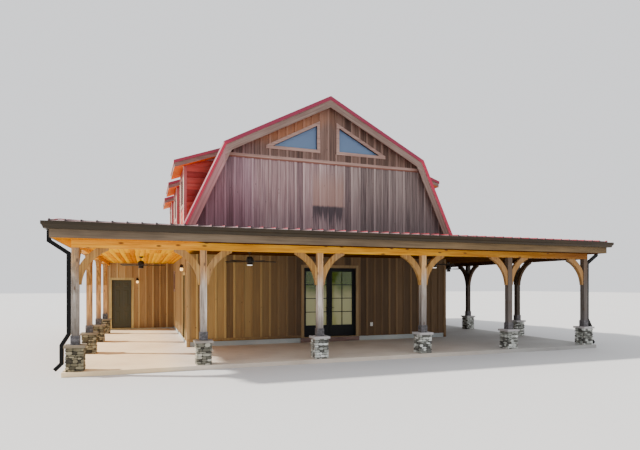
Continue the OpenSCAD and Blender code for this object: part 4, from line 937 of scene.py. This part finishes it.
# %% Battens on the gables
window_slope = 0.53
window_inner, window_low, window_high, window_tip = 0.294, 6.378, 7.444, 2.123
rear_window_half = 0.46
band_low, band_high = knee_z - 0.37, knee_z - 0.24
porch_top = 3.66
tuck = 0.02
rows = []
for facing, line, foot in ((0.0, front_y, porch_top), (faces_rear, rear_y, floor_z)):
    for i in range(-half_count + 1, half_count):
        u = i * siding_pitch
        runs = [(foot, min(under_roof(u), band_low))]
        if under_roof(u) > band_high:
            runs.append((band_high, under_roof(u) + tuck))
        if window_inner - batten_w / 2 < abs(u) < window_tip:
            sloping = window_high - window_slope * (abs(u) - window_inner)
            runs[-1:] = [(band_high, window_low), (sloping, under_roof(u) + tuck)]
        if facing == faces_rear and abs(abs(u) - half_w / 2) < rear_window_half + batten_w / 2:
            runs[:1] = [(foot, window_sill), (window_head, runs[0][1])]
        rows += [upright((middle_x + u, line, lo), hi - lo, facing) for lo, hi in runs if hi - lo > shortest]
upper_battens = boards("gable_battens", rows, batten_w, batten_t, 5, gable_battens)
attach(upper_battens, "barn")

# %% [markdown]
# ## Boards at the corners, the foot and the door
# Wide boards close the corners of the front wall and reach down to the slab
# past the concrete, and a skirt board closes the battens' feet. A deeper
# board covers the concrete under the French doors. They are single boards,
# so the same tree lays them, each width in a run of its own.

# %% Corner boards, skirt and step
corner_w, corner_t = 0.10, 0.024
tall, wing_tall = ceiling_z - slab_z, soffit_z - wing_z
rows = []
for x, side, facing in ((left_x, -1, faces_left), (right_x, 1, faces_right)):
    rows.append(upright((x - side * (corner_w / 2 - corner_t), front_y, slab_z), tall))
    rows.append(upright((x, front_y + corner_w / 2, slab_z), tall, facing))
for x, side, facing in ((wing_left_x, -1, faces_left), (wing_right_x, 1, faces_right)):
    rows.append(upright((x, rear_y - corner_w / 2, wing_z), wing_tall, facing))
    rows.append(upright((x - side * corner_w / 2, rear_y, wing_z), wing_tall, faces_rear))
corner_boards = boards("corner_boards", rows, corner_w, corner_t, 41, batten_siding)

skirt_w = 0.09
rows = [level((left_x, front_y, floor_z + skirt_w / 2), french[0] - left_x)]
skirt_board = boards("skirt_board", rows, skirt_w, 0.026, 43, batten_siding)

foot_gap, head_gap, step_past = 0.004, 0.008, 0.02
step_h = floor_z - slab_z - foot_gap - head_gap
rows = [level((french[0] - step_past, front_y, slab_z + foot_gap + step_h / 2),
              french[1] - french[0] + 2 * step_past)]
step_board = boards("step_board", rows, step_h, 0.04, 47, step_timber, 0.004)
for piece in (corner_boards, skirt_board, step_board):
    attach(piece, "barn")

# %% [markdown]
# ## The outlet box
# A small white weatherproof outlet sits low on the front wall to the right of
# the doors: a box, a lid that overlaps it, and two covers that hinge up. Each
# is a block whose edges are rounded with a bevel in mesh code.


# %% Rounded blocks
def rounded_block(work, low, high, radius):
    """Adds a block with rounded edges to a bmesh."""
    made = bmesh.ops.create_cube(work, size=1.0)["verts"]
    for vert in made:
        vert.co = Vector([high[i] if vert.co[i] > 0 else low[i] for i in range(3)])
    edges = list(dict.fromkeys(edge for vert in made for edge in vert.link_edges))
    bmesh.ops.bevel(work, geom=edges, offset=radius, segments=2, affect="EDGES", profile=0.5)


def bmesh_piece(name, work, finish):
    """Turns a bmesh into an object with one finish."""
    bmesh.ops.recalc_face_normals(work, faces=work.faces[:])
    mesh = bpy.data.meshes.new(name)
    work.to_mesh(mesh)
    work.free()
    mesh.materials.append(finish)
    print(name, len(mesh.polygons), "faces")
    return placed(name, mesh)


# %% Outlet box
# Each row is half the width, the reach from the wall, the height of the middle,
# half the height and the radius of the edges.
outlet_x, outlet_z = 1.484, 0.645
work = bmesh.new()
for half_wide, near, far, up, half_tall, radius in (
        (0.040, 0.000, 0.050, 0.000, 0.062, 0.006),
        (0.044, 0.046, 0.062, 0.000, 0.066, 0.006),
        (0.028, 0.060, 0.070, -0.030, 0.024, 0.004),
        (0.028, 0.060, 0.070, 0.030, 0.024, 0.004)):
    rounded_block(work, (outlet_x - half_wide, front_y - far, outlet_z + up - half_tall),
                  (outlet_x + half_wide, front_y - near, outlet_z + up + half_tall), radius)
outlet = bmesh_piece("outlet_box", work, outlet_white)
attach(outlet, "barn")

# %% [markdown]
# ## Ceiling boards
# The porch ceiling is tongue and groove pine. Each board is laid by the same
# tree, a little narrower than its pitch, so the grooves between them catch
# the light.

# %% Ceiling boards
ceiling_pitch = 0.14
groove = 0.004
beam_w = 0.15


def ceiling_rows(x0, x1, y0, y1):
    """Boards that run from y1 to y0 and fill the width between x0 and x1."""
    count = round((x1 - x0) / ceiling_pitch)
    each = (x1 - x0) / count
    return [((x0 + each * (i + 0.5), y1, ceiling_z), (math.radians(90), 0.0, 0.0),
             (each / ceiling_pitch, 1.0, y1 - y0)) for i in range(count)]


low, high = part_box("porch_beams")
rows = ceiling_rows(low.x + beam_w, high.x - beam_w, low.y + beam_w, front_y)
rows += ceiling_rows(low.x + beam_w, left_x, front_y, wing_y)
rows += ceiling_rows(right_x, high.x - beam_w, front_y, wing_y)
ceiling_boards = boards("ceiling_boards", rows, ceiling_pitch - groove, 0.012, 11, ceiling_pine, 0.004)
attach(ceiling_boards, "barn")

# %% [markdown]
# ## Ledge stone on the piers
# Each pier is faced with thin flat stones in rough courses. A tree sets
# rounded blocks on the listed places and then pushes their points about with
# noise, so that no two stones are alike.


# %% The stone tree
def stone_tree():
    """A block with the corners of its face pulled in, laid and then roughened.

    The product of x and z is 1/4 at those corners. Its fourth power, times 256,
    is 1 there and fades quickly towards the middle."""
    corner_pull = 0.16
    tree = Tree("ledge_stones", Rough="Float", Seed="Int", Finish="Material")
    block = tree.add("GeometryNodeMeshCube", Size=(1, 1, 1), Vertices_X=4, Vertices_Y=2, Vertices_Z=4)
    corner = tree.add("GeometryNodeInputPosition")["Position"]
    part = tree.add("ShaderNodeSeparateXYZ", Vector=corner)
    near = tree.product(part["X"], part["Z"])
    for again in range(2):
        near = tree.product(near, near)
    rounded = tree.moved(block["Mesh"], corner, tree.product(near, -corner_pull * 256))
    stones = tree.laid(rounded)
    spot = tree.add("GeometryNodeInputPosition")
    noise = tree.add("ShaderNodeTexNoise", Vector=spot["Position"], Scale=12.0, Detail=4.0)
    centred = tree.add("ShaderNodeVectorMath", {"operation": "SUBTRACT"},
                       {0: noise["Color"], 1: (0.5, 0.5, 0.5)})
    return tree.ended(tree.moved(stones, centred["Vector"], tree.given["Rough"]))


ledge_stones = stone_tree()
print("stone tree:", len(ledge_stones.nodes), "nodes")

# %% Courses of stone round every pier
pier_low, pier_high = (corner.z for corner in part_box("piers"))
pier_half = 0.19
stone_depth = 0.045
joint = 0.008
thinnest, thickest = 0.032, 0.075
shortest_stone, longest_stone = 0.06, 0.17
front_posts = [-7.335, -4.575, -1.625, 1.435, 4.385, 7.335]
front_row_y = -7.214
side_posts = [-4.214, -1.214, 1.786]
piers = [(x, front_row_y) for x in front_posts]
piers += [(x, y) for x in (front_posts[0], front_posts[-1]) for y in side_posts]


def stone_courses(rng, x, y):
    """Stones round one pier. The corners lap left and right by turns."""
    rows = []
    z = pier_low
    turn = 0
    while z < pier_high - 0.02:
        tall = min(rng.uniform(thinnest, thickest), pier_high - z)
        if pier_high - z - tall < 0.03:
            tall = pier_high - z
        turn += 1
        for side in range(4):
            cos, sin = math.cos(side * math.pi / 2), math.sin(side * math.pi / 2)
            end = pier_half - (0 if (side + turn) % 2 == 0 else stone_depth)
            at = -end
            while at < end - 0.01:
                wide = rng.uniform(shortest_stone, longest_stone)
                if end - at - wide < shortest_stone:
                    wide = end - at
                sunk = rng.uniform(0.004, 0.016)
                face = pier_half - stone_depth / 2 - sunk
                s = at + wide / 2
                point = (x + s * cos + face * sin, y + s * sin - face * cos, z + tall / 2)
                size = (wide - joint, stone_depth, tall - joint)
                rows.append((point, (0.0, 0.0, side * math.pi / 2), size))
                at += wide
        z += tall
    return rows


rng = random.Random(7)
rows = [row for x, y in piers for row in stone_courses(rng, x, y)]
pier_stones = grown("pier_stones", ledge_stones, rows, Rough=0.036, Seed=21, Finish=ledge_stone)


# %% The dark bed behind the stones
def block(low, high):
    """The corners and faces of a box, for joining many into one mesh."""
    corners = [(x, y, z) for x in (low[0], high[0]) for y in (low[1], high[1]) for z in (low[2], high[2])]
    faces = [(0, 1, 3, 2), (4, 6, 7, 5), (0, 4, 5, 1), (2, 3, 7, 6), (0, 2, 6, 4), (1, 5, 7, 3)]
    return corners, faces


def joined(name, shapes, finish):
    """One mesh object from a list of (corners, faces)."""
    corners, faces = [], []
    for some, sides in shapes:
        faces += [tuple(i + len(corners) for i in side) for side in sides]
        corners += some
    mesh = bpy.data.meshes.new(name)
    mesh.from_pydata(corners, [], faces)
    mesh.materials.append(finish)
    print(name, len(shapes), "shapes,", len(faces), "faces")
    return placed(name, mesh)


# The cores are the dark bed of painted shade that shows in the joints.
core = pier_half - 0.03
cores = [block((x - core, y - core, pier_low), (x + core, y + core, pier_high)) for x, y in piers]
pier_cores = joined("pier_cores", cores, bed_shadow)
for piece in (pier_stones, pier_cores):
    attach(piece, "barn")
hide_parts("piers")

# %% [markdown]
# ## Siding of the dormers
# The dormers are clad with level boards. They are laid longer than needed and
# then cut along the slopes of both roofs, as a carpenter would.


# %% Cutting a mesh along a plane
def cut_off(piece, point, normal):
    """Removes what lies on the normal's side of a plane and closes the cut."""
    work = bmesh.new()
    work.from_mesh(piece.data)
    every = work.verts[:] + work.edges[:] + work.faces[:]
    found = bmesh.ops.bisect_plane(work, geom=every, plane_co=point, plane_no=normal, clear_outer=True)
    edges = [g for g in found["geom_cut"] if isinstance(g, bmesh.types.BMEdge)]
    bmesh.ops.holes_fill(work, edges=edges)
    work.to_mesh(piece.data)
    work.free()


# %% Lines of the dormers
dormer_middles = [-1.814, 1.886, 5.586]
dormer_half = 0.775
dormer_front = half_w
dormer_edge_z = knee_z - 0.394
dormer_rise = 0.35
dormer_eave = 0.35
dormer_depth = 0.23
casing_w = 0.06
sill_z, window_h = wall_top + 0.90, 0.95
opening_low, opening_high, opening_half = sill_z - casing_w, sill_z + window_h + casing_w, 0.51
lap, lap_gap, lap_t = 0.2, 0.005, 0.018
below_top, into_roof = 0.04, 0.05
sides = ((-1, faces_left, "dormer_boards_left"), (1, faces_right, "dormer_boards_right"))


def dormer_under(u):
    """Height of the underside of a dormer's roof boards."""
    return dormer_edge_z + dormer_rise * (dormer_front + dormer_eave - u) - dormer_depth


def slope_u(z):
    """How far out the sheets of the main roof are at a height."""
    if z > knee_z:
        return (ridge_z - z) / upper_pitch
    return knee_u + (knee_z - z) / lower_pitch


front_top = dormer_under(dormer_front)
print("dormer fronts from", round(wall_top, 3), "to", round(front_top, 3))


# %% Dormer boards
def dormer_siding_rows(side, outward):
    """Level boards on the cheeks and front of the three dormers of one side."""
    rows = []
    for y in dormer_middles:
        for i in range(int((front_top - wall_top) / lap) + 2):
            z = wall_top - below_top + (i + 0.5) * lap
            inner = slope_u(z + lap / 2) - into_roof
            for edge, facing in ((-1, 0.0), (1, faces_rear)):
                start = dormer_front if side == edge else inner
                point = (middle_x + side * start, y + edge * dormer_half, z)
                rows.append(level(point, dormer_front - inner, facing))
            spans = [(y - dormer_half, y + dormer_half)]
            if opening_low - lap / 2 < z < opening_high + lap / 2:
                spans = [(y - dormer_half, y - opening_half), (y + opening_half, y + dormer_half)]
            for a, b in spans:
                point = (middle_x + side * dormer_front, b if side < 0 else a, z)
                rows.append(level(point, b - a, outward))
    return rows


for side, outward, name in sides:
    siding = boards(name, dormer_siding_rows(side, outward), lap - lap_gap, lap_t, 31, red_boards, 0.004)
    eave_point = Vector((middle_x + side * dormer_front, 0, front_top))
    cut_off(siding, eave_point, Vector((side * dormer_rise, 0, 1)).normalized())
    roof_point = Vector((middle_x + side * knee_u, 0, knee_z - 0.02))
    cut_off(siding, roof_point, Vector((-side * lower_pitch, 0, -1)).normalized())
    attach(siding, "barn")

# %% Corner boards of the dormers
dormer_corner_w, dormer_corner_t = 0.11, 0.03
top = front_top - wall_top - 0.002
rows = []
for side, outward, name in sides:
    x = middle_x + side * (dormer_front + 0.001)
    inset = side * (dormer_corner_w / 2 - dormer_corner_t)
    for y in dormer_middles:
        for edge, facing in ((-1, 0.0), (1, faces_rear)):
            face_y = y + edge * dormer_half
            rows.append(upright((x - inset, face_y, wall_top), top, facing))
            rows.append(upright((x, face_y - edge * dormer_corner_w / 2, wall_top), top, outward))
dormer_corners = boards("dormer_corners", rows, dormer_corner_w, dormer_corner_t, 37, corner_timber)
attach(dormer_corners, "barn")

# %% [markdown]
# ## Lanterns and fan lamps
# Three wall lanterns burn by day: a dark plate, an arm and a hood over a jar
# of frosted glass. A shallow glass bowl in a rim hangs under each fan. These
# are turned shapes, so a profile is spun round an upright line.


# %% Turned shapes
def turned(work, profile, centre, segments=20):
    """Adds a solid of revolution from (radius, height) points to a bmesh."""
    turn = [2 * math.pi * i / segments for i in range(segments)]
    rings = [[work.verts.new((centre[0] + radius * math.cos(a), centre[1] + radius * math.sin(a),
                              centre[2] + height)) for a in turn] for radius, height in profile]
    for low, high in zip(rings, rings[1:]):
        for i in range(segments):
            j = (i + 1) % segments
            work.faces.new((low[i], low[j], high[j], high[i])).smooth = True
    work.faces.new(rings[0])
    work.faces.new(rings[-1])


# %% Wall lanterns
def toward(place, out, reach, side, height):
    """The point at a reach from the wall, to the side and above a lantern's place."""
    return (place[0] + out[0] * reach + out[1] * side, place[1] + out[1] * reach + out[0] * side,
            place[2] + height)


def bar(work, place, out, reach, side, height, radius):
    """A rounded block on a lantern. It is given by its spans from the wall, to the side and upward."""
    ends = [toward(place, out, reach[i], side[i], height[i]) for i in (0, 1)]
    rounded_block(work, [min(c) for c in zip(*ends)], [max(c) for c in zip(*ends)], radius)


hood = [(0.052, 0.000), (0.062, 0.004), (0.060, 0.030), (0.050, 0.072), (0.034, 0.108), (0.014, 0.121)]
jar = [(0.018, -0.102), (0.036, -0.095), (0.046, -0.072), (0.047, -0.040), (0.044, -0.006), (0.040, 0.001)]
lanterns = [((-0.015, front_y, 2.780), (0, -1)), ((left_x, -2.564, 2.550), (-1, 0)),
            ((-6.165, wing_y, 2.175), (0, -1))]
arm = 0.092
stay = 0.053
metal, glass = bmesh.new(), bmesh.new()
for place, out in lanterns:
    bar(metal, place, out, (0, 0.014), (-0.045, 0.045), (-0.057, 0.121), 0.004)
    bar(metal, place, out, (0.010, arm), (-0.007, 0.007), (0.090, 0.104), 0.003)
    centre = toward(place, out, arm, 0, 0)
    turned(metal, hood, centre)
    turned(glass, jar, centre)
    for side in (-stay, stay):
        bar(metal, place, out, (arm - 0.003, arm + 0.003), (side - 0.003, side + 0.003), (-0.10, 0.05), 0.001)
lantern_frames = bmesh_piece("lantern_frames", metal, fan_bronze)
lantern_jars = bmesh_piece("lantern_jars", glass, lamp_glass)
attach(lantern_frames, "barn")
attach(lantern_jars, "barn")
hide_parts("wall_lights")

# %% Lamps under the fans
fan_places = [(-6.0, -1.864), (-3.1, -5.489), (2.91, -5.489), (5.905, -1.864)]
fan_z = 2.650
bowl = [(0.030, -0.116), (0.058, -0.113), (0.076, -0.104), (0.083, -0.088)]
rim = [(0.089, -0.094), (0.089, -0.082), (0.078, -0.078)]
glass, metal = bmesh.new(), bmesh.new()
for x, y in fan_places:
    turned(glass, bowl, (x, y, fan_z), 24)
    turned(metal, rim, (x, y, fan_z), 24)
fan_bowls = bmesh_piece("fan_bowls", glass, fan_glass)
fan_rims = bmesh_piece("fan_rims", metal, fan_bronze)
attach(fan_bowls, "barn")
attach(fan_rims, "barn")

# %% [markdown]
# ## Raised fields on the panelled doors
# Each sunk panel of the wing's door and the side door has a raised field with
# sloping edges, which catches the light. The fields lie inside the panels'
# depth, so the leaves stay as thick as they are.

# %% Door fields
panel_rows = [(0.10, 0.36), (0.42, 0.80), (0.85, 0.95)]
panel_gap = 0.107
rings = [(0.012, 0.0088), (0.020, 0.0080), (0.042, 0.0020)]
round_ring = [(4 * r + i, 4 * r + (i + 1) % 4, 4 * r + 4 + (i + 1) % 4, 4 * r + 4 + i)
              for r in (0, 1) for i in range(4)]


def raised_fields(name, start, width, foot, tall, at, finish, body):
    """Fields along the leaf's width; at(s, depth, z) places a point behind its outer face."""
    each = (width - 3 * panel_gap) / 2
    shapes = []
    for s0 in (start + panel_gap, start + 2 * panel_gap + each):
        for low, high in panel_rows:
            s1, z0, z1 = s0 + each, foot + tall * low, foot + tall * high
            corners = [at(s, d, z) for m, d in rings
                       for s, z in ((s0 + m, z0 + m), (s1 - m, z0 + m), (s1 - m, z1 - m), (s0 + m, z1 - m))]
            shapes.append((corners, round_ring + [(8, 9, 10, 11), (3, 2, 1, 0)]))
    fields = joined(name, shapes, finish)
    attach(fields, body)


raised_fields("wing_door_fields", -7.171, 0.762, 0.181, 2.020, lambda s, d, z: (s, 3.3811 + d, z),
              door_olive, "wing_door_leaf")
raised_fields("side_door_fields", 2.1575, 0.813, 0.276, 2.032, lambda s, d, z: (-4.5599 + d, -s, z),
              door_black, "side_door_leaf")

# %% [markdown]
# ## Light and floor
# A plain pale floor, an even sky and one warm light from the left and a
# little from behind, as the shadows on the slab tell. The front then stands
# in even shade, and the floor of the left porch throws light up at its pine.

# %% Floor and lights
pale = Finish("pale_floor")
pale_grey = pale.done(pale.mix(pale.noise(0.2), (0.60, 0.60, 0.60), (0.64, 0.64, 0.64)), 0.9)
far, floor_low = 120.0, -0.002
floor_corners = [(x, y, floor_low) for x, y in ((-far, -far), (far, -far), (far, far), (-far, far))]
floor = joined("floor", [(floor_corners, [(0, 1, 2, 3)])], pale_grey)

world = bpy.data.worlds.new("even_sky")
world.use_nodes = True
sky = world.node_tree.nodes["Background"].inputs
sky["Color"].default_value = (0.92, 0.93, 0.96, 1)
sky["Strength"].default_value = 1.3
bpy.context.scene.world = world
sun = bpy.data.lights.new("key_light", "SUN")
sun.energy = 8.5
sun.angle = math.radians(2.5)
sun.color = (1.0, 0.95, 0.87)
key = placed("key_light", sun)
key.rotation_euler = Vector((1.27, -0.53, -1.0)).to_track_quat("-Z", "Y").to_euler()
print("sky", sky["Strength"].default_value, "sun", sun.energy)
